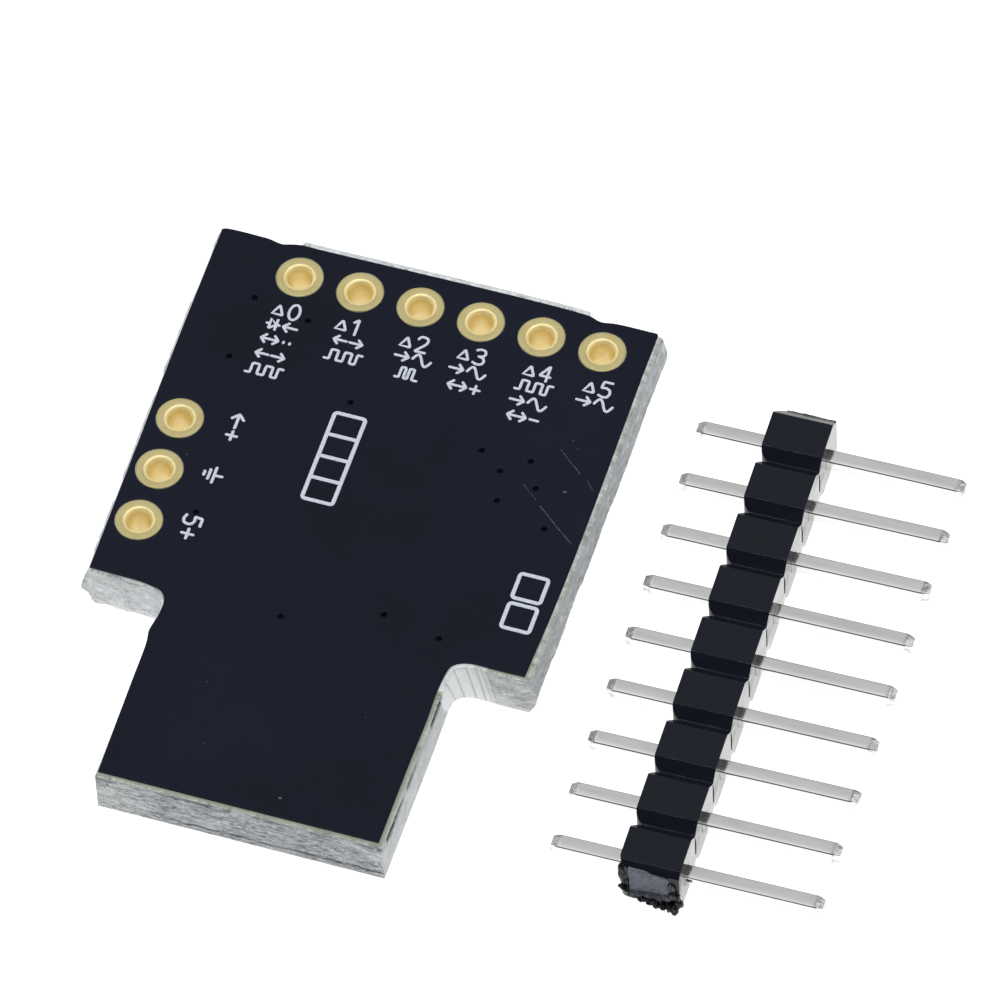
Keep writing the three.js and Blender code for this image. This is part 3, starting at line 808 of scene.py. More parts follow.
def build_laminate():
    geo = Geo()
    depth = np.array([0.03, 0.045, 0.07, 0.10, 0.14, 0.19, 0.25, 0.33, 0.41, 0.50, 0.60, 0.70, 0.80, 0.90, 1.0, 1.1, 1.2, 1.3, 1.4, 1.5, 1.6, 1.7, 1.76, 1.80, 1.84, 1.88, 1.92, 1.98, 2.05, 2.10, 2.14, 2.17])
    K = len(depth)
    cols, rings_top, rings_bottom = [], [], []
    tones = []
    for run in perimeter(0.075):
        Lm, nor, s, end, kind = run["L"], run["n"], run["s"], run["end"], run["kind"]
        N = len(Lm)
        amp = np.zeros(N)
        if kind in ("left", "right"):
            amp[:] = 1.0
        elif kind == "top":
            x = Lm[:, 0]
            amp = smooth(-0.46, -0.30, x) * smooth(11.76, 11.60, x)
        S2 = np.repeat(s[:, None], K, 1)
        D2 = np.repeat(depth[None, :], N, 0)
        Q = np.stack([S2.ravel(), D2.ravel(), np.full(N * K, {"left": 0, "notch_left": 50, "tip": 100, "notch_right": 150, "right": 200, "top": 250}[kind])], 1)
        prof = np.zeros((N, K))
        if kind in PROFILES:
            px = np.array(PROFILES[kind])
            prof = amp[:, None] * np.interp(depth, px[:, 0], px[:, 1])[None, :]
        edge = np.minimum(np.minimum(smooth(0.0, 0.12, depth - 0.03), smooth(0.0, 0.10, 2.17 - depth)), 1.0)[None, :]
        fade = smooth(0.0, 0.16, end)[:, None]
        coarse = fbm(Q * [1.1, 1.6, 1], 4, 1).reshape(N, K)
        layer = fbm(Q * [1.3, 11.0, 1], 3, 5).reshape(N, K)
        chunk = fbm(Q * [4.5, 5.0, 1], 4, 9).reshape(N, K)
        fine = fbm(Q * [11.0, 13.0, 1], 3, 13).reshape(N, K)
        grey = 0.55 + 0.28 * coarse
        beige = np.zeros((N, K))
        white = np.zeros((N, K))
        dirt_and_shade = np.zeros((N, K))
        if kind in ("left", "right", "top"):
            core = amp[:, None] * smooth(0.30, 0.62, D2) * (1 - smooth(1.55, 1.9, D2))
            rag = 0.6 if kind == "right" else 1.0
            disp = core * (0.045 * rag * chunk + 0.025 * fine + 0.02 * coarse) + (1 - core) * 0.010 * fine
            # a few torn steps along the snap line
            step = smooth(0.1, 0.2, fbm(np.stack([S2.ravel() * 0.55, D2.ravel() * 0.8, Q[:, 2]], 1), 3, 21).reshape(N, K))
            disp -= core * step * 0.06 * rag
            if kind == "left":   # a chip out of the lower corner beside the notch
                chip_out = smooth(-15.0, -15.55, Lm[:, 1])[:, None] * smooth(1.42, 1.72, D2)
                prof = prof - np.minimum(prof, 0.27 * chip_out)
                disp = disp * (1 - 0.6 * chip_out)
            beige = amp[:, None] * (1 - smooth(0.05, 0.30, D2)) * np.clip(0.55 + 0.6 * fine + 0.3 * coarse, 0, 1) * {"right": 0.85, "left": 0.15, "top": 0.30}[kind]
            grey = 0.60 + 0.30 * chunk + 0.12 * coarse
            white = core * smooth(0.30, 0.65, chunk + 0.4 * fine) * 0.7
            if kind == "right":
                # painted highlight: a light band along the crest and lower bevel of the snapped ridge
                white = np.maximum(white, 0.75 * np.exp(-(((D2 - 1.35) / 0.16) ** 2)) * smooth(-0.3, 0.3, coarse + 0.5 * chunk))
            dirt_and_shade = core * smooth(0.40, 0.75, -chunk + 0.3 * fine) * 0.35
            if kind == "top":
                flat = (1 - amp)[:, None]
                disp = disp * amp[:, None] + flat * (0.02 * layer + 0.015 * fine)
                line = np.exp(-(((D2 - 0.62) / 0.10) ** 2)) * amp[:, None]
                dirt_and_shade = np.maximum(dirt_and_shade, line * 0.30)
                beige = np.maximum(beige * 0.6, 0)
        else:
            x, y = Lm[:, 0][:, None], Lm[:, 1][:, None]
            disp = 0.022 * layer + 0.022 * chunk + 0.010 * fine
            white = smooth(0.10, 0.55, layer + 0.5 * fine) * 0.55
            dirt_and_shade = smooth(0.45, 0.80, -layer + 0.4 * fine) * 0.28
            if kind == "notch_right":
                # cutter marks in the rounded corner: leaning facets with a step between them, each step painted dark as
                # shade
                across = x + 0.336 * y - 0.17 * D2 + 0.02 * coarse
                cuts = np.array([5.60, 5.95, 6.32, 6.82, 7.22, 7.47, 7.64])
                cell = np.clip(np.searchsorted(cuts, across) - 1, 0, len(cuts) - 2)
                t = np.clip((across - cuts[cell]) / (cuts[cell + 1] - cuts[cell]), 0, 1)
                width = (cuts[cell + 1] - cuts[cell])
                ribzone = (across > 5.60) * (across < 7.64) * (y > -17.3)
                disp = disp * (1 - 0.5 * ribzone) + ribzone * (0.07 * (t - 0.5) - 0.04 * (1 - (2 * t - 1) ** 2))
                near_cut = np.minimum(t, 1 - t) * width
                # the facets are whitened broken fibre, set brighter still as painted light
                white = np.where(ribzone > 0, 1.0, white)
                # painted shade: darker within 0.05 of each step between the facets
                dirt_and_shade = np.where(ribzone > 0, 0.32 * (1 - smooth(0.0, 0.05, near_cut)) + 0.08 * smooth(0.3, 0.7, fine), dirt_and_shade)
                rough = smooth(12.85, 13.1, x) * (y > -16.6)
                disp += rough * (0.05 * layer + 0.03 * chunk)
                dirt_and_shade = np.maximum(dirt_and_shade * (1 - 0.5 * rough), rough * smooth(0.25, 0.6, layer + 0.4 * fine) * 0.22)
                # the rough zone: whitened fibre, its grey and whitening raised further as painted light
                white = np.maximum(white, rough * (0.72 + 0.5 * layer + 0.3 * fine))
                grey = grey + 0.35 * rough
                side = (y < -16.9) * 1.0
                # a thin dark broken line under the bare edge of the plug's right side: painted shade, over a slight
                # dent
                wob = fbm(np.stack([S2.ravel() * 2.0, D2.ravel() * 0.0, Q[:, 2]], 1), 3, 33).reshape(N, K)
                along = 1.0 * (smooth(-16.95, -17.2, y) * smooth(-18.9, -18.4, y)) + 0.75 * (smooth(-20.4, -20.7, y) * smooth(-21.9, -21.5, y)) + 1.0 * (smooth(-22.0, -22.4, y) * smooth(-24.4, -24.0, y))
                reach = 0.21 + 0.09 * wob + 0.04 * (y > -19)
                streak = side * np.clip(along * smooth(-0.55, -0.2, wob), 0, 1) * smooth(0.03, -0.03, np.abs(D2 - 0.33 - 0.05 * wob) - reach)
                dirt_and_shade = np.maximum(dirt_and_shade, streak)
                disp -= streak * 0.10
                grey = grey + 0.12 * side
                white = np.maximum(white, side * 0.35 * smooth(0.45, 0.6, D2))
            if kind == "notch_left":
                ribzone = (y > -17.2) * 1.0
                ribs = np.sin(2 * math.pi * (S2 * 2.3 - D2 * 0.9) + 2.0 * coarse)
                some = ribzone * smooth(0.05, 0.5, x) * (1 - smooth(1.1, 1.9, x))
                disp += ribzone * (0.05 * layer + 0.05 * chunk + 0.02 * coarse) + some * 0.03 * ribs
                # whitened broken fibre, raised further as painted light
                white = np.maximum(white, ribzone * (0.75 + 0.5 * chunk + 0.25 * fine))
                # a burr left along the lower edge
                burr = np.interp(x, (-3.57, -3.44, -3.34, -3.18, -2.98, -2.65, -1.92, -1.5, -1.16), (0.0, 0.12, 0.14, 0.08, 0.02, 0.05, 0.07, 0.04, 0.0))
                disp += burr * np.exp(-(((D2 - 2.03) / 0.22) ** 2)) * (1 + 0.2 * chunk) * (x < -1.16)
                # grey raised in the broken zone as painted light
                grey = grey + 0.45 * ribzone
                # painted shade in the hollows between the ribs, with random mottling
                dirt_and_shade = np.maximum(dirt_and_shade * (1 - 0.8 * ribzone), some * smooth(0.0, 0.6, -ribs * 0.7 + 0.3 * layer + 0.4 * fine) * 0.30)
                vein = fbm(Q * [2.2, 3.4, 1], 4, 57).reshape(N, K)
                dirt_and_shade = np.maximum(dirt_and_shade, ribzone * smooth(0.045, 0.0, np.abs(vein + 0.4 * D2 - 0.45)) * 0.24)
            beige = (1 - smooth(0.04, 0.10, D2)) * (0.0 if kind == "notch_left" else 0.5)
            if kind == "notch_left":
                dirt_and_shade = np.maximum(dirt_and_shade, 0.20 * (1 - smooth(0.045, 0.12, D2)) * (y > -17.2))
                white = white * smooth(0.03, 0.10, D2)
            if kind == "tip":
                grey = grey + 0.10
                white = np.maximum(white, 0.45 * smooth(3.5, 1.0, x))
            if kind == "tip":   # a ragged dark line at each outer layer
                low = np.exp(-(((D2 - 1.84 - 0.08 * coarse - 0.07 * fbm(np.stack([S2.ravel() * 3.0, D2.ravel() * 0.0, Q[:, 2]], 1), 3, 91).reshape(N, K)) / 0.042) ** 2)) * smooth(1.0, 3.5, x)
                high = np.exp(-(((D2 - 0.17) / 0.065) ** 2)) * smooth(-0.22, 0.12, fbm(np.stack([S2.ravel() * 2.2, D2.ravel() * 2, Q[:, 2]], 1), 3, 77).reshape(N, K))
                dirt_and_shade = np.maximum(dirt_and_shade, np.clip(0.85 * low * smooth(-0.8, -0.2, chunk + coarse) + 0.62 * high, 0, 1))
                disp -= 0.03 * low
        out = prof + disp * edge * fade
        out[:, 0] = prof[:, 0] * 0.0
        XY = Lm[:, None, :] + nor[:, None, :] * out[:, :, None]
        Z = np.repeat((Z_LABEL - depth)[None, :], N, 0)
        V = np.concatenate([XY, Z[:, :, None]], 2)
        cols.append(V)
        long = {"tip": 1.0, "notch_right": 0.8, "notch_left": 0.45, "left": 0.3, "right": 0.30, "top": 0.3}[kind]
        streaks = np.full((N, K), long)
        if kind == "notch_right":
            streaks = streaks * (1 - 0.85 * ribzone) * (1 - 0.6 * side)
        tones.append(np.stack([np.clip(q, 0, 1) for q in (grey, beige, white, dirt_and_shade, streaks)], 2))
    V = np.concatenate(cols)
    T = np.concatenate(tones)
    N = len(V)
    f = []
    for i in range(N):
        j = (i + 1) % N
        for k in range(K - 1):
            f.append((i * K + k, i * K + k + 1, j * K + k + 1, j * K + k))
    geo.add(V.reshape(-1, 3), f, 0, T.reshape(-1, 5))
    top_ring, bottom_ring = V[:, 0, :2], V[:, -1, :2]

    def tidy(r):
        keep = [r[0]]
        for p in r[1:]:
            if np.linalg.norm(p - keep[-1]) > 1e-5:
                keep.append(p)
        if np.linalg.norm(keep[0] - keep[-1]) < 1e-5:
            keep.pop()
        return np.array(keep)

    drills = [circle(x, y, DRILL_R, 48) for x, y in HOLES] + [circle(x, y, 0.19, 16) for x, y in VIAS]
    inner = []
    for p, q in zip(MASK_EDGE, list(MASK_EDGE[1:]) + [MASK_EDGE[0]]):
        p, q = np.array(p[:2], float), np.array(q[:2], float)
        m = int(np.linalg.norm(q - p) / 0.12) + 1
        inner += [p + (q - p) * i / m for i in range(m)]
    inner = np.array(inner)
    for ring, z, up in ((tidy(top_ring), Z_SUB1, True), (tidy(bottom_ring), Z_SUB0, False)):
        free = inner[(line_dist(inner, np.concatenate([ring, ring[:1]])) > 0.04) & inside(inner, ring)] if up else []
        V2, T2 = triangulate(free, [ring] + drills, ring, drills)
        tri = [tuple(t) if up else tuple(t[::-1]) for t in T2]
        tone = np.zeros((len(V2), 5))
        tone[:, 0] = 0.5
        x2, y2 = V2[:, 0], V2[:, 1]
        tone[:, 1] = 0.9
        left = (x2 < 1.0) & (y2 < -14.5) & (y2 > -17.5)
        tone[left, 1] = 0.3
        tone[left, 0] = 0.1
        tone[left, 3] = 0.48
        bare = (x2 > 11.3) & (x2 < 12.95) & (y2 > -17.2) & (y2 < -15.0)
        tone[bare, 1] = 0.0
        tone[bare, 2] = 0.0
        tone[bare, 0] = 0.15
        tone[bare, 3] = 0.22
        geo.add(np.concatenate([V2, np.full((len(V2), 1), z)], 1), tri, 0, tone)
    for d in drills:
        m = len(d)
        top = np.concatenate([d, np.full((m, 1), Z_SUB1)], 1)
        bot = np.concatenate([d, np.full((m, 1), Z_SUB0)], 1)
        geo.add(np.concatenate([top, bot]), [((i + 1) % m, i, i + m, (i + 1) % m + m) for i in range(m)], 0, np.tile([0.5, 0.9, 0, 0], (2 * m, 1)))
    return geo


piece("laminate", build_laminate(), FR4, replaces=["pcb_laminate"], weld=0.0004, recalc=True, angle=70)

# ----------------------------------------------------------------------------------------------
# Solder masks
# ----------------------------------------------------------------------------------------------
LABEL_TRACES = [   # faint channels between the copper areas, label side: (width, depth, points)
    (0.20, 0.011, [(1.15, -4.6), (1.22, -8.2), (1.25, -11.2), (0.9, -11.6)]),
    (0.20, 0.014, [(2.40, -5.0), (2.44, -10.4), (2.52, -12.9), (2.2, -13.3), (1.0, -13.4)]),
    (0.20, 0.008, [(4.5, -4.6), (5.0, -4.55), (7.0, -4.30), (8.9, -4.30), (10.2, -4.9)]),
    (0.18, 0.008, [(11.79, -3.9), (11.82, -5.2)]),
    (0.18, 0.008, [(12.70, -3.3), (12.85, -4.6), (12.98, -6.1), (12.4, -7.0)]),
    (0.18, 0.008, [(13.45, -3.1), (13.50, -5.3)]),
    (0.22, 0.014, [(8.26, -10.5), (8.45, -12.4), (8.53, -13.95)]),
    (0.20, 0.010, [(8.26, -10.5), (9.66, -10.64), (11.10, -10.75), (11.0, -9.4), (10.87, -8.46)]),
    (0.22, 0.014, [(4.9, -15.6), (6.6, -15.55), (8.48, -15.5), (10.63, -15.42), (12.5, -15.30)]),
    (0.22, 0.009, [(8.60, -14.7), (8.9, -15.45)]),
]
UNDER_TRACES = [
    (0.22, 0.012, [(0.0, -1.0), (0.0, -3.6), (-0.9, -4.6), (-0.9, -8.0)]),
    (0.22, 0.012, [(2.54, -1.0), (2.54, -3.4)]),
    (0.22, 0.012, [(5.08, -1.0), (5.9, -2.2), (6.3, -4.3)]),
    (0.22, 0.012, [(7.62, -1.0), (6.9, -3.0), (6.9, -5.6), (6.7, -5.6)]),
    (0.22, 0.012, [(10.16, -1.0), (10.2, -3.8), (7.3, -4.6), (7.3, -6.9), (6.7, -6.9)]),
    (0.30, 0.014, [(4.7, -17.5), (4.7, -16.9)]),
    (0.30, 0.014, [(6.7, -17.5), (6.7, -16.9)]),
    (0.30, 0.014, [(4.75, -14.8), (4.9, -10.8), (6.0, -8.4)]),
    (0.30, 0.014, [(6.65, -14.8), (7.0, -13.6), (7.5, -9.8), (7.4, -8.2), (6.7, -8.15)]),
    (0.50, 0.014, [(-2.42, -9.0), (-1.3, -9.0), (-1.2, -12.0), (-1.6, -13.9)]),
    (0.22, 0.012, [(13.2, -12.6), (13.9, -11.5), (13.9, -3.0), (13.4, -2.3)]),
]
CONTACT_NODES = ["usb_contact_supply", "usb_contact_data_minus", "usb_contact_data_plus", "usb_contact_ground"]


def rect_ring(x0, x1, y0, y1, r, n=5):
    s = rrect(x1 - x0, y1 - y0, r, n)
    return s + [(x0 + x1) / 2, (y0 + y1) / 2]


PADS = []   # bare solder lands on the component side: x0, x1, y0, y1


def build_mask(label):
    """A thin resin sheet, its outer face at z_out. Relief is given along the outward direction."""
    traces = LABEL_TRACES if label else UNDER_TRACES
    outline = np.concatenate([r["M"][:-1] for r in perimeter(0.16)])
    keep = [0]
    for i in range(1, len(outline)):
        if np.linalg.norm(outline[i] - outline[keep[-1]]) > 0.02:
            keep.append(i)
    outline = outline[keep]
    tan = np.roll(outline, -1, 0) - np.roll(outline, 1, 0)
    tan /= np.linalg.norm(tan, axis=1)[:, None]
    inward = np.stack([-tan[:, 1], tan[:, 0]], 1)
    windows = []
    for k, (x, y) in enumerate(HOLES):
        c = circle(0, 0, 1, 64)
        r = WINDOW_R + 0.014 * fbm(np.concatenate([c * 1.7 + 9.0 * k, np.zeros((64, 1))], 1), 3, 29)
        windows.append(c * r[:, None] + [x, y])
    if not label:
        for n in CONTACT_NODES:
            b = bx(n)
            windows.append(rect_ring(b[0] - 0.05, b[1] + 0.05, b[2] - 0.05, b[3] + 0.05, 0.12))
        for x0, x1, y0, y1 in PADS:
            windows.append(rect_ring(x0 - 0.05, x1 + 0.05, y0 - 0.05, y1 + 0.05, 0.08, 3))
    via_r = (0.42, 0.36, 0.30, 0.24, 0.19, 0.16, 0.14, 0.12, 0.10, 0.08, 0.06, 0.04)
    spacing = 0.125
    gx = np.arange(-3.6, 14.7, spacing)
    gy = np.arange(-24.6, 1.5, spacing)
    G = np.stack(np.meshgrid(gx, gy), -1).reshape(-1, 2)
    G += (RNG.random(G.shape) - 0.5) * spacing * 0.25
    extra = [outline + inward * 0.035, outline + inward * 0.08]
    for x, y in HOLES:
        extra += [circle(x, y, WINDOW_R + d, 64) for d in (0.05, 0.09, 0.14)]
    for w, _, line in traces:
        L = np.array(line, float)
        for a, b in zip(L[:-1], L[1:]):
            n = max(2, int(np.linalg.norm(b - a) / 0.11))
            t = np.linspace(0, 1, n)[:, None]
            c = a + (b - a) * t
            q = np.array([-(b - a)[1], (b - a)[0]]) / max(np.linalg.norm(b - a), 1e-9)
            extra += [c + q * o for o in (-w * 0.75, -w * 0.5, -w * 0.25, 0, w * 0.25, w * 0.5, w * 0.75)]
    P = np.concatenate([G] + extra)
    tree = KDTree(len(outline))
    for i, p in enumerate(outline):
        tree.insert((p[0], p[1], 0), i)
    tree.balance()
    ok = inside(P, outline)
    vias = VIAS
    for w in windows:
        ok &= ~inside(P, w)
    for x, y in HOLES:
        ok &= np.hypot(P[:, 0] - x, P[:, 1] - y) > WINDOW_R + 0.03
    for x, y in vias:
        ok &= np.hypot(P[:, 0] - x, P[:, 1] - y) > 0.46
    P = P[ok]
    via_pts = [circle(x, y, r, 20, 0.15 * k) for x, y in vias for k, r in enumerate(via_r)] + [np.array(vias)]
    P = np.concatenate([P] + via_pts)
    dmin = np.array([tree.find((p[0], p[1], 0))[2] for p in P])
    P = P[dmin > 0.02]
    V2, T2 = triangulate(P, [outline] + windows, outline, windows)
    # relief
    edge = np.array([tree.find((p[0], p[1], 0))[2] for p in V2])
    h = -0.018 * (1 - smooth(0.0, 0.09, edge)) ** 2
    for x, y in HOLES:
        r = np.hypot(V2[:, 0] - x, V2[:, 1] - y)
        h += -0.014 * (1 - smooth(WINDOW_R, WINDOW_R + 0.10, r)) ** 2 + 0.004 * np.exp(-(((r - WINDOW_R - 0.14) / 0.05) ** 2))
    for w, depth, line in traces:
        d = line_dist(V2, line)
        if label:   # clearance channels: sunk, with soft shoulders
            h += -0.22 * depth * (1 - smooth(w * 0.2, w * 0.62, d)) + 0.08 * depth * np.exp(-(((d - w * 0.8) / (w * 0.25)) ** 2))
        else:       # tracks: raised
            h += depth * (1 - smooth(w * 0.35, w * 0.65, d))
    P3 = np.stack([V2[:, 0], V2[:, 1], np.full(len(V2), 3.7 if label else 9.1)], 1)
    h += 0.0016 * fbm(P3 * [2.4, 2.4, 1], 4, 41) + 0.004 * fbm(P3 * [0.33, 0.33, 1], 3, 47)
    dim = np.zeros(len(V2))
    for k, (x, y) in enumerate(vias):
        r = np.hypot(V2[:, 0] - x, V2[:, 1] - y)
        pad = 0.011 if k in (11, 13) else 0.006
        h += pad * (1 - smooth(0.30, 0.38, r)) * smooth(0.15, 0.24, r)
        hole = 1 - smooth(0.060, 0.135, r)
        dim = np.maximum(dim, hole)
        h += -0.20 * hole
    out = 1.0 if label else -1.0
    z_out = Z_LABEL if label else Z_COMP
    z_in = Z_SUB1 if label else Z_SUB0
    zo = z_out + out * h
    zi = np.where(h < -0.02, zo - out * 0.02, z_in)
    zi = np.where(out * (zo - zi) < 0.006, zo - out * 0.006, zi)
    top = np.concatenate([V2, (zo if label else zi)[:, None]], 1)
    bot = np.concatenate([V2, (zi if label else zo)[:, None]], 1)
    v, f = sheet_shell([tuple(t) for t in T2], top, bot)
    tone = np.zeros((len(v), 4))
    g = Geo()
    g.add(v, f, 0, tone)
    return g


piece("solder_mask_label", build_mask(True), MASK, replaces=["solder_mask_label_side"], angle=55)

# ----------------------------------------------------------------------------------------------
# Plated holes
# ----------------------------------------------------------------------------------------------


def hole_geo(x, y, k):
    up = Z_LABEL
    dn = Z_COMP
    half = [(0.935, Z_SUB1 - 0.0), (0.944, Z_SUB1 + 0.010), (0.943, up - 0.010), (0.935, up - 0.002), (0.915, up + 0.003), (0.86, up + 0.004), (0.78, up + 0.003),
            (0.72, up + 0.001), (0.680, up - 0.003), (0.645, up - 0.009), (0.610, up - 0.019), (0.580, up - 0.033), (0.552, up - 0.053), (0.528, up - 0.078),
            (0.506, up - 0.112), (0.488, up - 0.155), (0.474, up - 0.21), (0.465, up - 0.275), (HOLE_R, up - 0.35)]
    n = 14
    wall = [(HOLE_R, z) for z in np.linspace(up - 0.50, dn + 0.50, n)]
    mirror = [(r, dn + (up - z)) for r, z in half[::-1]]
    back = [(BARREL_R, Z_SUB0), (BARREL_R, Z_SUB1)]
    prof = half + wall + mirror + back

    def wobble(r, z, a):
        base = np.full(len(a), r)
        if r > 0.9:
            base = base + 0.006 * np.sin(3 * a + k) + 0.004 * np.sin(7 * a + 2 * k)
        if r < 0.50 and dn < z < up:
            q = np.stack([np.cos(a) * 2.2 + k * 5, np.sin(a) * 2.2, np.full(len(a), z * 3.0)], 1)
            base = base + 0.010 * fbm(q, 3, 61) - 0.004
        return base

    return lathe(prof, x, y, 96, wobble)


for k, (node, (x, y)) in enumerate(zip(HOLE_NODES, HOLES)):
    g = Geo()
    hv, hf = hole_geo(x, y, k)
    hv = np.asarray(hv, float)
    radius = np.hypot(hv[:, 0] - x, hv[:, 1] - y)
    g.add(hv, hf, [1 if radius[list(q)].mean() < 0.66 else 0 for q in hf])
    piece(node.replace("plated_hole", "gold_hole"), g, [GOLD, BARREL], replaces=[node], angle=60)

# ----------------------------------------------------------------------------------------------
# Legend: generic marks drawn in strokes
# ----------------------------------------------------------------------------------------------


def stroke(points, w, h, z0, out=1.0):
    """One ink stroke: a low domed band with round ends."""
    P = np.asarray(points, float)
    closed = np.linalg.norm(P[0] - P[-1]) < 1e-6
    if closed:
        P = P[:-1]
        tan = np.roll(P, -1, 0) - np.roll(P, 1, 0)
    else:
        tan = np.gradient(P, axis=0)
    tan /= np.maximum(np.linalg.norm(tan, axis=1), 1e-9)[:, None]
    nor = np.stack([-tan[:, 1], tan[:, 0]], 1)
    t = np.linspace(0, math.pi, 7)
    u, zz = np.cos(t) * w / 2, np.sin(t) ** 0.55 * h
    ring = []

    def section(c, n, s):
        xy = c + n * (u * s)[:, None]
        z = z0 + out * zz * s**0.5
        top = np.concatenate([xy, z[:, None]], 1)
        under = np.concatenate([xy[::-1][1:-1], np.full((5, 1), z0 - out * 0.006)], 1)
        return np.concatenate([top, under])

    if not closed:
        for a in (84, 62, 40, 20):
            r = math.radians(a)
            ring.append(section(P[0] - tan[0] * (w / 2) * math.sin(r), nor[0], math.cos(r)))
    for c, n in zip(P, nor):
        ring.append(section(c, n, 1.0))
    if not closed:
        for a in (20, 40, 62, 84):
            r = math.radians(a)
            ring.append(section(P[-1] + tan[-1] * (w / 2) * math.sin(r), nor[-1], math.cos(r)))
        v, f = loft(ring)
    else:
        v, f = loft(ring, closed_ends=False)
        m, n = len(ring[0]), len(ring)
        f += [((n - 1) * m + i, (n - 1) * m + (i + 1) % m, (i + 1) % m, i) for i in range(m)]
    return v, fix_winding(v, f)


def oval(cx, cy, rx, ry, n=22):
    a = np.linspace(0, 2 * math.pi, n + 1)
    p = [(cx + rx * math.sin(t), cy + ry * math.cos(t)) for t in a]
    p[-1] = p[0]
    return p


SYM = {   # strokes on a cell 1 high; the first number is the cell's width
    "0": (0.62, [oval(0.31, 0.5, 0.29, 0.5)]),
    "1": (0.42, [[(0.06, 0.78), (0.28, 1.0), (0.28, 0.0)]]),
    "2": (0.62, [[(0.03, 0.80), (0.12, 0.96), (0.32, 1.0), (0.54, 0.93), (0.58, 0.72), (0.48, 0.50), (0.03, 0.0), (0.60, 0.0)]]),
    "3": (0.62, [[(0.04, 0.90), (0.22, 1.0), (0.48, 0.97), (0.57, 0.76), (0.46, 0.56), (0.24, 0.53)], [(0.26, 0.53), (0.50, 0.47), (0.60, 0.27), (0.50, 0.05), (0.24, 0.0), (0.02, 0.09)]]),
    "4": (0.64, [[(0.46, 0.0), (0.46, 1.0), (0.02, 0.30), (0.62, 0.30)]]),
    "5": (0.62, [[(0.56, 1.0), (0.09, 1.0), (0.05, 0.57), (0.30, 0.63), (0.53, 0.53), (0.60, 0.30), (0.50, 0.06), (0.26, 0.0), (0.03, 0.09)]]),
    "+": (0.62, [[(0.31, 0.18), (0.31, 0.82)], [(0.0, 0.5), (0.62, 0.5)]]),
    "-": (0.56, [[(0.0, 0.5), (0.56, 0.5)]]),
    "pin": (0.50, [[(0.0, 0.88), (0.36, 0.5), (0.0, 0.12)]]),
    "gnd": (0.96, [[(0.48, 1.0), (0.48, 0.56)], [(0.0, 0.56), (0.96, 0.56)], [(0.18, 0.28), (0.78, 0.28)], [(0.36, 0.0), (0.60, 0.0)]]),
    "pwm": (1.95, [[(0.0, 0.05), (0.30, 0.05), (0.30, 0.95), (0.72, 0.95), (0.72, 0.05), (1.18, 0.05), (1.18, 0.95), (1.60, 0.95), (1.60, 0.05), (1.95, 0.05)]]),
    "sine": (1.35, [[(1.35 * t, 0.5 + 0.45 * math.sin(2 * math.pi * t)) for t in np.linspace(0, 1, 25)]]),
    "out": (1.05, [[(0.0, 0.5), (1.0, 0.5)], [(0.66, 0.86), (1.02, 0.5), (0.66, 0.14)]]),
    "in": (1.05, [[(0.05, 0.5), (1.05, 0.5)], [(0.39, 0.86), (0.03, 0.5), (0.39, 0.14)]]),
    "both": (1.35, [[(0.05, 0.5), (1.30, 0.5)], [(0.36, 0.84), (0.03, 0.5), (0.36, 0.16)], [(0.99, 0.84), (1.32, 0.5), (0.99, 0.16)]]),
    "clock": (1.60, [[(0.0, 0.05), (0.28, 0.05), (0.28, 0.95), (0.62, 0.95), (0.62, 0.05), (0.90, 0.05), (0.90, 0.95), (1.24, 0.95), (1.24, 0.05), (1.60, 0.05)]]),
    "coil": (1.70, [[(0.0, 0.5), (0.16, 0.5), (0.30, 0.95), (0.54, 0.05), (0.78, 0.95), (1.02, 0.05), (1.26, 0.95), (1.42, 0.5), (1.70, 0.5)]]),
    "ref": (0.92, [[(0.0, 0.5), (0.22, 0.5)], [(0.22, 0.92), (0.22, 0.08), (0.70, 0.5), (0.22, 0.92)], [(0.70, 0.92), (0.70, 0.08)], [(0.70, 0.5), (0.92, 0.5)]]),
    "tri": (0.60, [[(0.0, 0.14), (0.30, 0.74), (0.60, 0.14), (0.0, 0.14)]]),
    "wide": (2.60, [[(0.0, 0.08), (0.34, 0.08), (0.34, 0.92), (0.86, 0.92), (0.86, 0.08), (1.34, 0.08), (1.34, 0.92), (1.86, 0.92), (1.86, 0.08), (2.26, 0.08), (2.26, 0.92), (2.60, 0.92)]]),
    "dot": (0.20, [[(0.10, 0.46), (0.10, 0.54)]]),
    "bar": (0.20, [[(0.10, 0.0), (0.10, 1.0)]]),
}


def legend_row(g, symbols, x, y, turn=0.0, cap=0.80, w=0.128, gap=0.26, squeeze=1.0, label=True):
    """A row of symbols centred at x, y, turned by `turn` degrees."""
    total = sum(SYM[s][0] for s in symbols) * cap * squeeze + gap * cap * (len(symbols) - 1)
    c, s = math.cos(math.radians(turn)), math.sin(math.radians(turn))
    pen = -total / 2
    for name in symbols:
        width, strokes = SYM[name]
        for st in strokes:
            pts = [(pen + a * cap * squeeze, (b - 0.5) * cap) for a, b in st]
            pts = rounded_path(pts, 0.055 if len(pts) < 20 else 0.01, 4) if np.linalg.norm(np.subtract(pts[0], pts[-1])) > 1e-6 or len(pts) < 8 else np.array(pts)
            q = np.stack([x + pts[:, 0] * c - pts[:, 1] * s, y + pts[:, 0] * s + pts[:, 1] * c], 1)
            if not label:
                q[:, 0] = 2 * x - q[:, 0]
            d = np.concatenate([[True], np.linalg.norm(np.diff(q, axis=0), axis=1) > 1e-4])
            q = q[d]
            if np.linalg.norm(q[0] - q[-1]) < 1e-6:
                q[-1] = q[0]
            g.add(*stroke(q, w, 0.020, Z_LABEL if label else Z_COMP, 1.0 if label else -1.0))
        pen += width * cap * squeeze + gap * cap
    return g


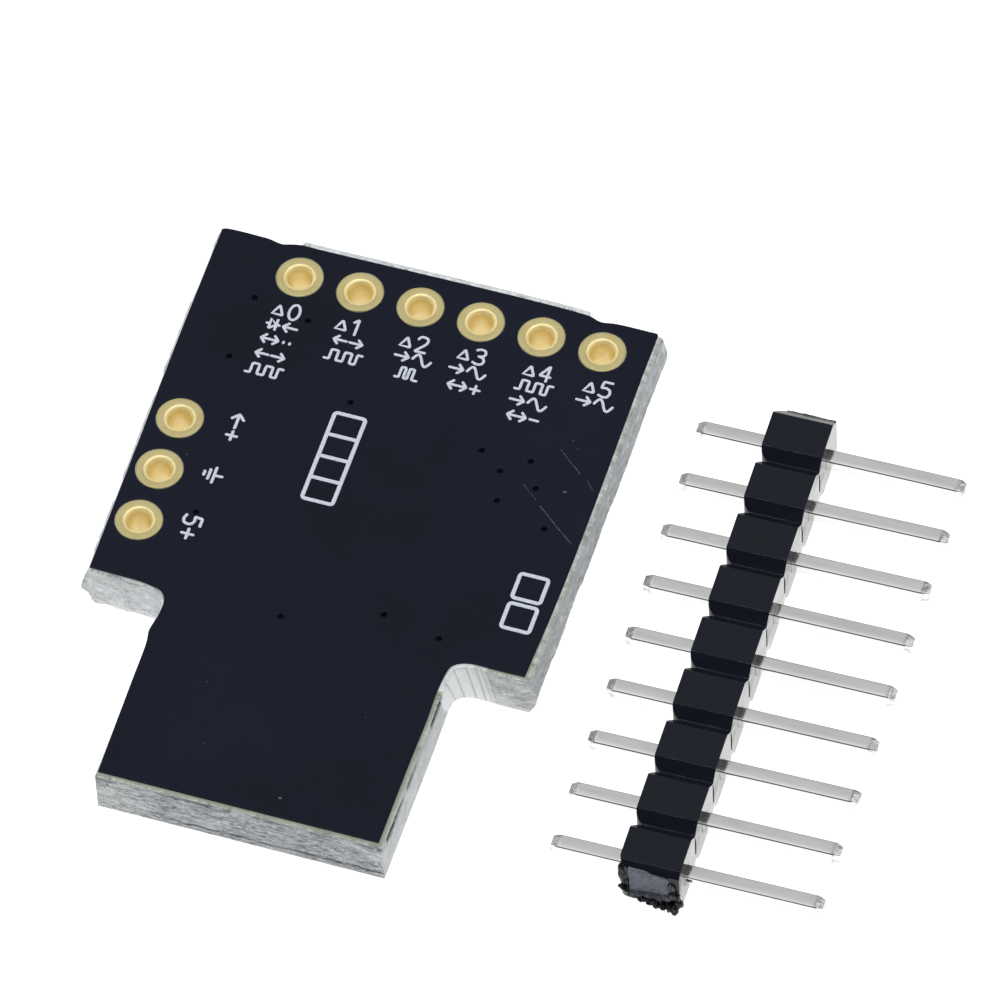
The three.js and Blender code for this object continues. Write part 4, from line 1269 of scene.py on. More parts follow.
def frame_box(g, x0, x1, y0, y1, w, cells=1, along="y", label=True):
    out = 1.0 if label else -1.0
    z = Z_LABEL if label else Z_COMP
    ring = rrect(x1 - x0, y1 - y0, 0.12, 4) + [(x0 + x1) / 2, (y0 + y1) / 2]
    ring = np.concatenate([ring, ring[:1]])
    g.add(*stroke(ring, w, 0.020, z, out))
    for k in range(1, cells):
        t = k / cells
        p = [(x0, y0 + (y1 - y0) * t), (x1, y0 + (y1 - y0) * t)] if along == "y" else [(x0 + (x1 - x0) * t, y0), (x0 + (x1 - x0) * t, y1)]
        g.add(*stroke(np.linspace(p[0], p[1], 5), w, 0.020, z, out))


legend = Geo()
LEGEND_ROWS = [   # symbols, place, height
    (["tri", "0"], 0.03, -1.70, 0.74), (["ref", "in"], 0.07, -2.47, 0.56), (["both", "dot", "dot"], 0.06, -3.20, 0.56), (["in", "out"], 0.06, -3.94, 0.52), (["wide"], 0.07, -4.70, 0.56),
    (["tri", "1"], 2.60, -1.68, 0.74), (["in", "out"], 2.84, -2.44, 0.52), (["wide"], 2.88, -3.18, 0.56),
    (["tri", "2"], 5.40, -1.72, 0.74), (["out", "sine"], 5.57, -2.47, 0.56), (["clock"], 5.58, -3.22, 0.56),
    (["tri", "3"], 7.80, -1.64, 0.74), (["out", "sine"], 7.84, -2.42, 0.56), (["both", "+"], 7.92, -3.20, 0.60),
    (["tri", "4"], 10.55, -1.64, 0.74), (["wide"], 10.62, -2.42, 0.56), (["out", "sine"], 10.62, -3.18, 0.56), (["both", "-"], 10.62, -3.92, 0.60),
    (["tri", "5"], 13.08, -1.72, 0.74), (["out", "sine"], 13.16, -2.46, 0.56),
]
for symbols, x, y, cap in LEGEND_ROWS:
    legend_row(legend, symbols, x, y, cap=cap, w=0.118)
legend_row(legend, ["in", "+"], -0.18, -7.61, -90, cap=0.66)
legend_row(legend, ["gnd"], -0.28, -10.04, -90, cap=0.74)
legend_row(legend, ["5", "+"], -0.37, -12.66, -90, cap=0.74)
frame_box(legend, 3.42, 4.70, -10.05, -5.80, 0.17, 4, "y")
frame_box(legend, 12.85, 14.02, -12.18, -11.00, 0.17)
frame_box(legend, 12.85, 14.02, -13.62, -12.44, 0.17)
piece("legend_label_side", legend, SILK, angle=50)

# light scratches and specks in the resin
marks = Geo()
for a, b, w in (((12.57, -4.96), (13.64, -5.84), 0.026), ((14.0, -6.03), (14.38, -6.47), 0.022), ((11.68, -6.97), (12.35, -7.52), 0.024), ((12.59, -7.75), (14.32, -9.12), 0.028)):
    a, b = np.array(a), np.array(b)
    q = np.array([a + (b - a) * t for t in np.linspace(0, 1, 24)])
    side = np.array([-(b - a)[1], (b - a)[0]]) / np.linalg.norm(b - a)
    q += side * (0.008 * np.sin(np.linspace(0, 9, 24)))[:, None]
    marks.add(*stroke(q, w, 0.004, Z_LABEL + 0.0005))
for x, y, r in ((13.34, -6.83, 0.07), (7.08, -23.73, 0.06), (12.9, -4.4, 0.035), (13.2, -4.7, 0.03), (2.6, -19.4, 0.03), (-1.6, -21.4 + 12.0, 0.03), (9.1, -19.2, 0.03), (3.4, -22.2, 0.03)):
    marks.add(*stroke(np.array([(x - r * 0.4, y), (x, y + 0.1 * r), (x + r * 0.4, y)]), r * 1.4, 0.012, Z_LABEL))
piece("resin_scratches", marks, SCRATCH, angle=50)

# ----------------------------------------------------------------------------------------------
# Pin header strip (strip frame: x along the pins, y along the strip, z up)
# ----------------------------------------------------------------------------------------------
PINS = ["header_pin_%d" % (k + 1) for k in range(9)]
STRIP_POS = (21.176, -10.554)
STRIP_YAW = math.radians(1.42)
STRIP_H, STRIP_D, NOTCH, ROUND = 2.54, 2.5, 0.45, 0.5
PIN_SHIFT = [1.38, 1.40, 1.38, 1.38, 1.39, 1.36, 1.33, 1.31, 1.32]
PIN_YAW = [1.23, 1.53, 1.47, 1.20, 1.27, 1.35, 1.24, 1.14, 1.03]
PIN_W, PIN_L, TIP_L, TIP_W = 0.64, 11.1, 0.30, 0.44
TORN, TORN_NOTCH = 0.31, 0.25


def strip_to_board(v):
    v = np.asarray(v, float).copy()
    c, s = math.cos(STRIP_YAW), math.sin(STRIP_YAW)
    x, y = v[:, 0].copy(), v[:, 1].copy()
    v[:, 0] = STRIP_POS[0] + x * c - y * s
    v[:, 1] = STRIP_POS[1] + x * s + y * c
    return v


def pin_geo(k):
    y0 = (4 - k) * PITCH
    L = PIN_L / 2
    e_list = [0.0, 0.012, 0.03, 0.09, 0.15, 0.21, 0.262, 0.285, 0.300, 0.316, 0.34, 0.42]
    stations = [-L + e for e in e_list] + list(np.linspace(-L + 0.8, L - 0.8, 26)) + [L - e for e in e_list[::-1]]
    secs = []
    yaw = math.radians(PIN_YAW[k] - 1.42)
    rs = np.random.default_rng(900 + k)
    damage = 0.05 if k == 6 else 0.0
    skew = rs.normal(0, 0.014, 4)
    for x in stations:
        e = L - abs(x)
        w = TIP_W + (PIN_W - TIP_W) * min(1.0, e / TIP_L)
        r = 0.03 + 0.055 * float(smooth(0.7, 1.0, e / TIP_L))
        if e < 0.001:
            w, r = w - 0.03, 0.028
        s = rrect(w, w, r, 4)
        q = np.array([[x * 0.35 + 7.0 * k, 3.1, 0.0], [x * 0.35 + 7.0 * k, 9.7, 4.0]])
        wob = fbm(q, 3, 71) * 0.005
        tipshift = float(smooth(TIP_L, 0.0, e)) if e < TIP_L else 0.0
        dy = wob[0] + tipshift * (skew[0] if x > 0 else skew[1]) + (damage * tipshift if x > 0 else 0)
        dz = wob[1] + tipshift * (skew[2] if x > 0 else skew[3]) - (damage * tipshift if x > 0 else 0)
        secs.append(np.stack([np.full(len(s), x), s[:, 0] + dy, s[:, 1] + dz], 1))
    v, f = loft(secs)
    v = np.asarray(v)
    c, sn = math.cos(yaw), math.sin(yaw)
    X, Y = v[:, 0].copy(), v[:, 1].copy()
    v[:, 0] = X * c - Y * sn + PIN_SHIFT[k]
    v[:, 1] = X * sn + Y * c + y0
    v[:, 2] += STRIP_H / 2
    return strip_to_board(v), f


for k, node in enumerate(PINS):
    g = Geo()
    v, f = pin_geo(k)
    tone = np.zeros((len(v), 4))
    tone[:, 0] = smooth(PIN_L / 2 - 0.36, PIN_L / 2 - 0.28, np.linalg.norm((v - v.mean(0))[:, :2], axis=1))
    g.add(v, fix_winding(v - v.mean(0), f), 0, tone)
    piece("pin_%d" % (k + 1), g, PIN, body="pin_header", replaces=[node], angle=50, weighted=True)


def extrude_poly(poly, axis, a, b):
    """A closed prism of a polygon (n, 2). axis x: polygon in (y, z); axis z: polygon in (x, y)."""
    P = np.asarray(poly, float)
    n = len(P)
    if axis == "x":
        lo = np.stack([np.full(n, a), P[:, 0], P[:, 1]], 1)
        hi = np.stack([np.full(n, b), P[:, 0], P[:, 1]], 1)
    else:
        lo = np.stack([P[:, 0], P[:, 1], np.full(n, a)], 1)
        hi = np.stack([P[:, 0], P[:, 1], np.full(n, b)], 1)
    v = np.concatenate([lo, hi])
    f = [tuple(range(n))[::-1], tuple(n + i for i in range(n))] + [(i, (i + 1) % n, (i + 1) % n + n, i + n) for i in range(n)]
    return v, fix_winding(v - v.mean(0), f)


def raw_object(name, v, f):
    me = bpy.data.meshes.new(name)
    me.from_pydata([tuple(p) for p in v], [], f)
    me.update()
    ob = bpy.data.objects.new(name, me)
    bpy.context.scene.collection.objects.link(ob)
    return ob


def boolean(base, cutter, op):
    m = base.modifiers.new("b", "BOOLEAN")
    m.operation = op
    m.solver = "EXACT"
    m.object = cutter
    dg = bpy.context.evaluated_depsgraph_get()
    me = bpy.data.meshes.new_from_object(base.evaluated_get(dg))
    base.modifiers.clear()
    old = base.data
    base.data = me
    bpy.data.meshes.remove(old)
    bpy.data.objects.remove(cutter)
    return base


def build_insulator():
    """Worked in a scale of one unit per mm at the origin, then moved to its place in metres."""
    half, end = PITCH / 2, 9 * PITCH / 2
    top, under = [], []
    web = 0.03     # half the flat at the bottom of each groove
    for k in range(9):
        y = (k - 4) * PITCH
        a, b = y - half, y + half
        if k == 0:
            a += TORN
            top += [(a, STRIP_H - TORN_NOTCH), (a + TORN_NOTCH, STRIP_H), (b - NOTCH, STRIP_H), (b - web, STRIP_H - NOTCH + web)]
            under += [(a, TORN_NOTCH), (a + TORN_NOTCH, 0.0), (b - NOTCH, 0.0), (b - web, NOTCH - web)]
            continue
        top += [(a + web, STRIP_H - NOTCH + web), (a + NOTCH, STRIP_H), (b - NOTCH, STRIP_H), (b - web, STRIP_H - NOTCH + web)]
        under += [(a + web, NOTCH - web), (a + NOTCH, 0.0), (b - NOTCH, 0.0), (b - web, NOTCH - web)]
    top[-1] = (end, STRIP_H - NOTCH)
    under[-1] = (end, NOTCH)
    profile = under + top[::-1]
    base = raw_object("ins", *extrude_poly(profile, "x", -STRIP_D / 2, STRIP_D / 2))
    plan = []
    x = -STRIP_D / 2
    for k in range(9):
        y = (k - 4) * PITCH
        r = ROUND
        arc = [math.radians(a) for a in np.linspace(90, 0, 10)]
        near = y - half + (TORN if k == 0 else 0.0)
        for a in arc:
            plan.append((x + r - r * math.cos(a), near + r - r * math.sin(a)))
        for a in arc[::-1]:
            plan.append((x + r - r * math.cos(a), y + half - r + r * math.sin(a)))
    keep = [plan[0]]
    for p in plan[1:]:
        if math.hypot(p[0] - keep[-1][0], p[1] - keep[-1][1]) > 1e-5:
            keep.append(p)
    plan = keep + [(STRIP_D / 2 + 0.5, end), (STRIP_D / 2 + 0.5, -end + TORN)]
    cutter = raw_object("plan", *extrude_poly(plan, "z", -1.0, STRIP_H + 1.0))
    base = boolean(base, cutter, "INTERSECT")
    w = PIN_W / 2 + 0.02
    for k in range(9):
        y = (4 - k) * PITCH
        c = raw_object("c", *extrude_poly([(y - w, STRIP_H / 2 - w), (y + w, STRIP_H / 2 - w), (y + w, STRIP_H / 2 + w), (y - w, STRIP_H / 2 + w)], "x", -STRIP_D, STRIP_D))
        base = boolean(base, c, "DIFFERENCE")
    # moulding slits between the blocks on the straight side
    rs = np.random.default_rng(77)
    for k in range(8):
        y = (k - 4) * PITCH + half
        j = rs.uniform(-0.03, 0.03, 3)
        slit = [(y - 0.07 + j[0], 0.92 + j[1]), (y + 0.05 + j[0], 0.72 + j[1]), (y + 0.10 + j[0], 1.35), (y + 0.06, 1.98 + j[2]), (y - 0.05, 2.02 + j[2])]
        c = raw_object("c", *extrude_poly(slit, "x", STRIP_D / 2 - 0.32, STRIP_D / 2 + 0.4))
        base = boolean(base, c, "DIFFERENCE")
    bm = bmesh.new()
    bm.from_mesh(base.data)
    bmesh.ops.remove_doubles(bm, verts=bm.verts, dist=1e-5)
    bmesh.ops.dissolve_limit(bm, angle_limit=math.radians(0.5), verts=bm.verts, edges=bm.edges)
    sharp = [e for e in bm.edges if len(e.link_faces) == 2 and e.calc_face_angle(0) > math.radians(25)]
    bmesh.ops.bevel(bm, geom=sharp, offset=0.035, offset_type="OFFSET", segments=2, profile=0.5, affect="EDGES", clamp_overlap=True, miter_outer="SHARP")
    bmesh.ops.triangulate(bm, faces=[f for f in bm.faces if len(f.verts) > 4])
    v, f = bm_geo(bm)
    bpy.data.objects.remove(base)
    return v, f


iv, if_ = build_insulator()
g = Geo()
skin = []
for q in if_:
    n = np.cross(iv[q[1]] - iv[q[0]], iv[q[2]] - iv[q[0]])
    n = n / max(np.linalg.norm(n), 1e-12)
    side = n[0] > 0.9 and iv[list(q), 0].min() > STRIP_D / 2 - 0.05
    # the narrow bevel faces along the near top edge take the copy with the painted highlight
    highlit_rim = 0.80 < n[2] < 0.99 and n[1] < -0.12 and abs(n[0]) < 0.3
    skin.append(1 if side else 2 if highlit_rim else 0)
g.add(strip_to_board(iv), if_, skin)
insulator = piece("header_body", g, [NYLON, NYLON_SIDE, NYLON_HIGHLIT_RIM], body="pin_header", replaces=["header_insulator"], angle=30, weighted=True)


def patch_geo(u, w, front, depth_back):
    """A closed slab: `front` (U, W, 3) is its rough face, its back sits at y = depth_back."""
    U, W = front.shape[:2]
    rear = front.copy()
    rear[:, :, 1] = depth_back
    n = U * W
    tri = [(i * W + j, (i + 1) * W + j, (i + 1) * W + j + 1, i * W + j + 1) for i in range(U - 1) for j in range(W - 1)]
    f = list(tri) + [tuple(q + n for q in t[::-1]) for t in tri]
    edge = [i * W for i in range(U)] + [(U - 1) * W + j for j in range(1, W)] + [i * W + W - 1 for i in range(U - 2, -1, -1)] + [j for j in range(W - 2, 0, -1)]
    f += [(b, a, a + n, b + n) for a, b in zip(edge, edge[1:] + edge[:1])]
    v = np.concatenate([front.reshape(-1, 3), rear.reshape(-1, 3)])
    return v, fix_winding(v - v.mean(0), f)


def crumb(cx, cy, cz, r, seed, stretch=(1, 1, 1), tear=0.0, scuff=0.0, rough=0.85):
    """A torn crumb of plastic."""
    bm = bmesh.new()
    bmesh.ops.create_icosphere(bm, subdivisions=4, radius=1.0)
    v, f = bm_geo(bm)
    n = fbm(v * 1.5 + seed * 3.7, 4, 120 + seed)
    m = fbm(v * 4.5 + seed * 1.3, 3, 160 + seed)
    v = v * (1 + rough * n + 0.22 * rough * m)[:, None] * r * np.array(stretch) + np.array([cx, cy, cz])
    tone = np.zeros((len(v), 4))
    tone[:, 0] = np.clip(tear + 0.5 * m * (tear > 0), 0, 1)
    tone[:, 1] = np.clip(scuff * smooth(0.0, 0.5, n + m), 0, 1)
    tone[:, 2] = 0.0 if tear > 0 else 0.7
    return v, f, tone


# near end: the broken web, a smooth grey tear with ragged crumbs round it
g = Geo()
U, W = 84, 70
u, w = np.linspace(-0.95, 1.02, U), np.linspace(0.55, 2.44, W)
UU, WW = np.meshgrid(u, w, indexing="ij")
Q3 = np.stack([UU.ravel(), WW.ravel(), np.full(UU.size, 5.0)], 1)
slow, mid, fast = (fbm(Q3 * [k, k, 1], o, sd).reshape(U, W) for k, o, sd in ((1.2, 3, 81), (3.4, 4, 83), (9.0, 3, 87)))
end_y = -(9 * PITCH / 2 - TORN)
top_line = 2.40 - 0.10 * smooth(-0.3, 0.3, UU) - 0.07 * smooth(0.3, 0.8, UU) + 0.04 * mid
side_r = 0.84 + 0.05 * mid
side_l = -0.84 + 0.05 * slow
area = smooth(0.0, 0.05, top_line - WW) * smooth(0.0, 0.05, side_r - UU) * smooth(0.0, 0.05, UU - side_l)
low = smooth(1.05, 0.80, WW + 0.08 * mid)
h = 0.05 + 0.035 * slow + 0.010 * mid + 0.010 * np.abs(np.sin(WW * 9 + 3 * UU + 2 * slow)) + low * 0.10 * np.clip(mid + fast + 0.3, 0, 1)
lean = np.maximum(0, WW - (STRIP_H - TORN_NOTCH))
y_front = end_y + lean - (h * area - 0.06 * (1 - area))
front = np.stack([UU, y_front, WW], -1)
v, f = patch_geo(u, w, front, end_y + 0.35)
tone = np.zeros((len(v), 4))
tone[: U * W, 0] = (area * (1 - 0.75 * low)).ravel()
tone[: U * W, 1] = (area * 0.35 * smooth(0.25, 0.6, mid) * smooth(0.2, 0.6, UU)).ravel()
tone[: U * W, 2] = (0.6 * low * smooth(0.2, -0.2, mid)).ravel()
g.add(strip_to_board(v), f, 0, tone)
CRUMBS = [   # x, y, z, radius, stretch, tear, scuff
    (-1.04, -10.95, 1.66, 0.20, (1.0, 0.9, 3.6), 0.0, 0.1),
    (-1.02, -11.10, 0.86, 0.17, (1.3, 0.9, 0.8), 0.0, 0.5), (-1.08, -10.98, 0.72, 0.13, (1.2, 1.0, 0.9), 0.0, 0.6), 
    (-0.92, -11.10, 1.38, 0.13, (0.9, 0.8, 1.6), 0.0, 0.5), (-0.62, -11.22, 0.72, 0.15, (1.5, 0.9, 0.7), 0.2, 0.3), (-0.28, -11.24, 0.60, 0.15, (1.2, 0.9, 0.9), 0.0, 0.2),
    (0.04, -11.26, 0.52, 0.14, (1.2, 0.9, 0.9), 0.0, 0.2), (0.30, -11.26, 0.42, 0.16, (1.0, 0.9, 1.0), 0.0, 0.3), (0.58, -11.28, 0.36, 0.16, (1.1, 0.9, 0.9), 0.0, 0.2),
    (0.86, -11.26, 0.36, 0.18, (1.1, 0.9, 1.1), 0.0, 0.4), (1.06, -11.24, 0.30, 0.17, (1.0, 0.9, 1.2), 0.0, 0.2), (1.22, -11.12, 0.62, 0.15, (0.9, 0.9, 1.3), 0.0, 0.6),
    (0.92, -11.16, 1.66, 0.16, (0.9, 0.8, 1.1), 0.45, 0.9), (0.98, -11.16, 1.22, 0.17, (0.9, 0.8, 1.2), 0.0, 0.9), (0.74, -11.18, 0.98, 0.14, (1.2, 0.8, 0.9), 0.35, 0.6),
    (0.42, -11.20, 0.86, 0.16, (1.6, 0.7, 0.8), 0.3, 0.2), (-0.05, -11.18, 0.86, 0.18, (1.7, 0.7, 0.7), 0.3, 0.1), (1.16, -11.10, 0.98, 0.14, (0.8, 0.9, 1.5), 0.0, 0.7),
    (0.20, -11.24, 0.62, 0.15, (1.2, 0.8, 0.8), 0.0, 0.3), (-0.45, -11.20, 0.84, 0.15, (1.4, 0.7, 0.8), 0.3, 0.2),
]
for k, (x, y, z, r, st, tear, scuff) in enumerate(CRUMBS):
    v, f, tone = crumb(x, y, z, r, k, st, tear, scuff)
    g.add(strip_to_board(v), f, 0, tone)
piece("snapped_web_near", g, NYLON, body="pin_header", angle=80)

# far end: a low broken lip over the web
g = Geo()
U, W = 96, 44
u, w = np.linspace(-0.90, 1.245, U), np.linspace(0.44, 2.12, W)
UU, WW = np.meshgrid(u, w, indexing="ij")
Q3 = np.stack([UU.ravel(), WW.ravel(), np.full(UU.size, 17.0)], 1)
slow, mid, fast = (fbm(Q3 * [k, k, 1], o, sd).reshape(U, W) for k, o, sd in ((1.3, 3, 81), (3.6, 4, 83), (9.0, 3, 87)))
area = smooth(0.0, 0.05, 2.10 - WW) * smooth(0.0, 0.08, UU + 0.88) * smooth(0.0, 0.03, 1.24 - UU)
h = 0.045 + 0.04 * slow + 0.04 * mid + 0.02 * fast + 0.075 * smooth(1.80, 2.03, WW)
y_front = 9 * PITCH / 2 + h * area - 0.05 * (1 - area)
v, f = patch_geo(u, w, np.stack([UU, y_front, WW], -1), 9 * PITCH / 2 - 0.30)
tone = np.zeros((len(v), 4))
tone[: U * W, 0] = (0.35 * area * smooth(1.9, 1.5, WW)).ravel()
tone[: U * W, 2] = (0.6 * area * smooth(1.7, 2.0, WW)).ravel()
g.add(strip_to_board(v), f, 0, tone)
piece("snapped_web_far", g, NYLON, body="pin_header", angle=80)

# ----------------------------------------------------------------------------------------------
# Component side
# ----------------------------------------------------------------------------------------------
solder = Geo()
lands = Geo()


def fillet_mesh(x0, x1, y0, y1, hx0, hx1, hy0, hy1, height, seed=0, power=2.2):
    """Solder on a land (x0..y1): it climbs to `height` round the terminal (hx0..hy1), with a hollow profile."""
    nx, ny = max(12, int((x1 - x0) / 0.06)), max(12, int((y1 - y0) / 0.06))
    X, Y = np.meshgrid(np.linspace(x0, x1, nx), np.linspace(y0, y1, ny), indexing="ij")
    dx = np.maximum(np.maximum(hx0 - X, X - hx1), 0)
    dy = np.maximum(np.maximum(hy0 - Y, Y - hy1), 0)
    d = np.hypot(dx, dy)
    reach = max(hx0 - x0, x1 - hx1, hy0 - y0, y1 - hy1, 0.12)
    edge = np.minimum(np.minimum(X - x0, x1 - X), np.minimum(Y - y0, y1 - Y))
    t = np.clip(1 - d / reach, 0, 1)
    P = np.stack([X.ravel() * 3 + seed, Y.ravel() * 3, np.zeros(X.size)], 1)
    h = 0.035 + height * t**power * (1 + 0.12 * fbm(P, 3, 101 + seed).reshape(X.shape))
    h *= smooth(-0.02, 0.10, edge)
    h = np.maximum(h, 0.004)
    # round the land's corners
    cx = np.clip(X, x0 + 0.1, x1 - 0.1)
    cy = np.clip(Y, y0 + 0.1, y1 - 0.1)
    out = np.hypot(X - cx, Y - cy)
    k = np.where(out > 0.1, 0.1 / np.maximum(out, 1e-9), 1.0)
    X, Y = cx + (X - cx) * k, cy + (Y - cy) * k
    face = np.stack([X, Y, Z_COMP - h], -1).reshape(-1, 3)
    back = np.stack([X, Y, np.full_like(X, Z_SUB0 - 0.001)], -1).reshape(-1, 3)
    n = nx * ny
    q = [(i * ny + j, (i + 1) * ny + j, (i + 1) * ny + j + 1, i * ny + j + 1) for i in range(nx - 1) for j in range(ny - 1)]
    f = list(q) + [tuple(a + n for a in t2[::-1]) for t2 in q]
    edge_i = [i * ny for i in range(nx)] + [(nx - 1) * ny + j for j in range(1, ny)] + [i * ny + ny - 1 for i in range(nx - 2, -1, -1)] + [j for j in range(ny - 2, 0, -1)]
    f += [(b, a, a + n, b + n) for a, b in zip(edge_i, edge_i[1:] + edge_i[:1])]
    v = np.concatenate([face, back])
    return v, fix_winding(v - v.mean(0), f)


def land(x0, x1, y0, y1, term, height, seed):
    PADS.append((x0, x1, y0, y1))
    solder.add(*fillet_mesh(x0, x1, y0, y1, *term, height, seed))


# controller
mb = bx("microcontroller_body")
g = Geo()
v, f = rbox(*mb, r=0.07, seg=3, draft=0.16, parting=0.52)
g.add(v, f)
body_ob = piece("controller_body", g, EPOXY, replaces=["microcontroller_body"], angle=35, weighted=True)
# first-pin dimple, sunk into the free face
dim = raw_object("dim", *lathe([(0.0001, mb[4] - 0.3), (0.34, mb[4] - 0.3), (0.34, mb[4] + 0.03), (0.30, mb[4] + 0.055), (0.0001, mb[4] + 0.06)], mb[0] + 0.85, mb[3] - 0.85, 40))
dim.data.transform(Matrix.Translation((OX, OY, 0)))
dim.data.transform(Matrix.Scale(1e-3, 4))
bm = bmesh.new()
bm.from_mesh(dim.data)
bmesh.ops.remove_doubles(bm, verts=bm.verts, dist=1e-6)
bmesh.ops.recalc_face_normals(bm, faces=bm.faces)
bm.to_mesh(dim.data)
bm.free()
bmod = body_ob.modifiers.new("dimple", "BOOLEAN")
bmod.operation = "DIFFERENCE"
bmod.solver = "EXACT"
bmod.object = dim
body_ob.modifiers.move(1, 0) if len(body_ob.modifiers) > 1 else None
dg = bpy.context.evaluated_depsgraph_get()
baked = bpy.data.meshes.new_from_object(body_ob.evaluated_get(dg))
body_ob.modifiers.clear()
body_ob.data = baked
shade(body_ob.data, 35)
bpy.data.objects.remove(dim)

for k in range(8):
    node = "microcontroller_lead_%d" % (k + 1)
    b = bx(node)
    left = (b[0] + b[1]) / 2 < (mb[0] + mb[1]) / 2
    s = -1 if left else 1
    xin = b[1] if left else b[0]
    y = (b[2] + b[3]) / 2
    path = rounded_path([(xin - s * 0.12, y, 1.05), (xin + s * 0.34, y, 1.05), (xin + s * 0.58, y, Z_COMP - 0.10), (xin + s * 1.28, y, Z_COMP - 0.10)], 0.17, 7)
    g = Geo()
    g.add(*strip_sweep(path, (0, 1, 0), 0.42, 0.20, 0.035))
    piece("controller_lead_%d" % (k + 1), g, TIN, replaces=[node], angle=40)
    x0, x1 = sorted((xin + s * 0.50, xin + s * 1.62))
    t0, t1 = sorted((xin + s * 0.62, xin + s * 1.30))
    land(x0, x1, y - 0.32, y + 0.32, (t0, t1, y - 0.20, y + 0.20), 0.15, k)

# regulator
rb = bx("regulator_body")
tb = bx("regulator_tab")
g = Geo()
g.add(*rbox(rb[0], rb[1], rb[2], rb[3], rb[4], Z_COMP - 0.02, r=0.08, seg=3, draft=0.14, parting=0.45))
piece("regulator_case", g, EPOXY, replaces=["regulator_body"], angle=35, weighted=True)
# round ejector marks on the free face
g = Geo()
for dx in (-1.9, 1.9):
    cx = (rb[0] + rb[1]) / 2 + dx
    cy = (rb[2] + rb[3]) / 2 + 1.4
    g.add(*lathe([(0.34, 0.03), (0.34, -0.004), (0.37, -0.012), (0.40, -0.004), (0.40, 0.03)], cx, cy, 40))
piece("regulator_ejector_rings", g, EPOXY, angle=50)
g = Geo()
cx = (tb[0] + tb[1]) / 2
w, t = (tb[1] - tb[0]) / 2, tb[3]
plan = rounded_path([(cx - w, tb[2]), (cx - w, t - 0.30), (cx - w + 0.25, t), (cx - 0.75, t), (cx - 0.55, t - 0.22), (cx + 0.55, t - 0.22), (cx + 0.75, t), (cx + w - 0.25, t), (cx + w, t - 0.30), (cx + w, tb[2])], 0.06, 4)
v, f = extrude_poly(plan[::-1], "z", tb[4] + 0.0, Z_COMP - 0.01)
bm = bmesh.new()
vs = [bm.verts.new(p) for p in v]
for q in f:
    bm.faces.new([vs[i] for i in q])
bmesh.ops.bevel(bm, geom=[e for e in bm.edges if e.calc_face_angle(0) > 0.9], offset=0.04, segments=2, profile=0.5, affect="EDGES", clamp_overlap=True)
g.add(*bm_geo(bm))
piece("regulator_heat_tab", g, TIN, replaces=["regulator_tab"], angle=35, weighted=True)
land(tb[0] - 0.35, tb[1] + 0.35, tb[3] - 1.25, tb[3] + 0.75, (tb[0] + 0.05, tb[1] - 0.05, tb[3] - 1.25, tb[3] - 0.08), 0.42, 20)
for node, name in (("regulator_lead_in", "regulator_input_lead"), ("regulator_lead_out", "regulator_output_lead")):
    b = bx(node)
    x = (b[0] + b[1]) / 2
    y0 = rb[2]
    path = rounded_path([(x, y0 + 0.15, 1.15), (x, y0 - 0.72, 1.15), (x, y0 - 1.22, Z_COMP - 0.25), (x, y0 - 2.70, Z_COMP - 0.25)], 0.35, 8)
    g = Geo()
    g.add(*strip_sweep(path, (1, 0, 0), 0.76, 0.50, 0.06))
    piece(name, g, TIN, replaces=[node], angle=40)
    land(x - 0.75, x + 0.75, y0 - 3.30, y0 - 1.15, (x - 0.36, x + 0.36, y0 - 2.72, y0 - 1.30), 0.34, 24 + int(x))
b = bx("regulator_centre_stub")
g = Geo()
g.add(*rbox(b[0], b[1], b[2], b[3] + 0.1, b[4], b[5], r=0.05, seg=2))
piece("regulator_stub", g, TIN, replaces=["regulator_centre_stub"], angle=35, weighted=True)

# Schottky diode
sb = bx("schottky_diode_body")
g = Geo()
g.add(*rbox(*sb, r=0.07, seg=3, draft=0.12, parting=0.5))
piece("schottky_body", g, EPOXY, replaces=["schottky_diode_body"], angle=35, weighted=True)
g = Geo()   # printed cathode band on the free face
g.add(*rbox(sb[0] + 0.55, sb[0] + 0.95, sb[2] + 0.16, sb[3] - 0.16, sb[4] - 0.008, sb[4] + 0.02, r=0.006, seg=1))
piece("schottky_band", g, SILK, angle=35)
sy = (sb[2] + sb[3]) / 2
for node, s, xin in (("schottky_diode_cathode", -1, sb[0]), ("schottky_diode_anode", 1, sb[1])):
    path = rounded_path([(xin - s * 0.10, sy, 1.05), (xin + s * 0.42, sy, 1.05), (xin + s * 0.42, sy, Z_COMP - 0.055), (xin - s * 0.62, sy, Z_COMP - 0.055)], 0.14, 6)
    g = Geo()
    g.add(*strip_sweep(path, (0, 1, 0), 1.44, 0.11, 0.03))
    piece(node.replace("schottky_diode", "schottky") + "_terminal", g, TIN, replaces=[node], angle=40)
    x0, x1 = sorted((xin - s * 0.75, xin + s * 1.05))
    t0, t1 = sorted((xin - s * 0.75, xin + s * 0.46))
    land(x0, x1, sy - 0.95, sy + 0.95, (t0, t1, sy - 0.68, sy + 0.68), 0.55, 31 + s)

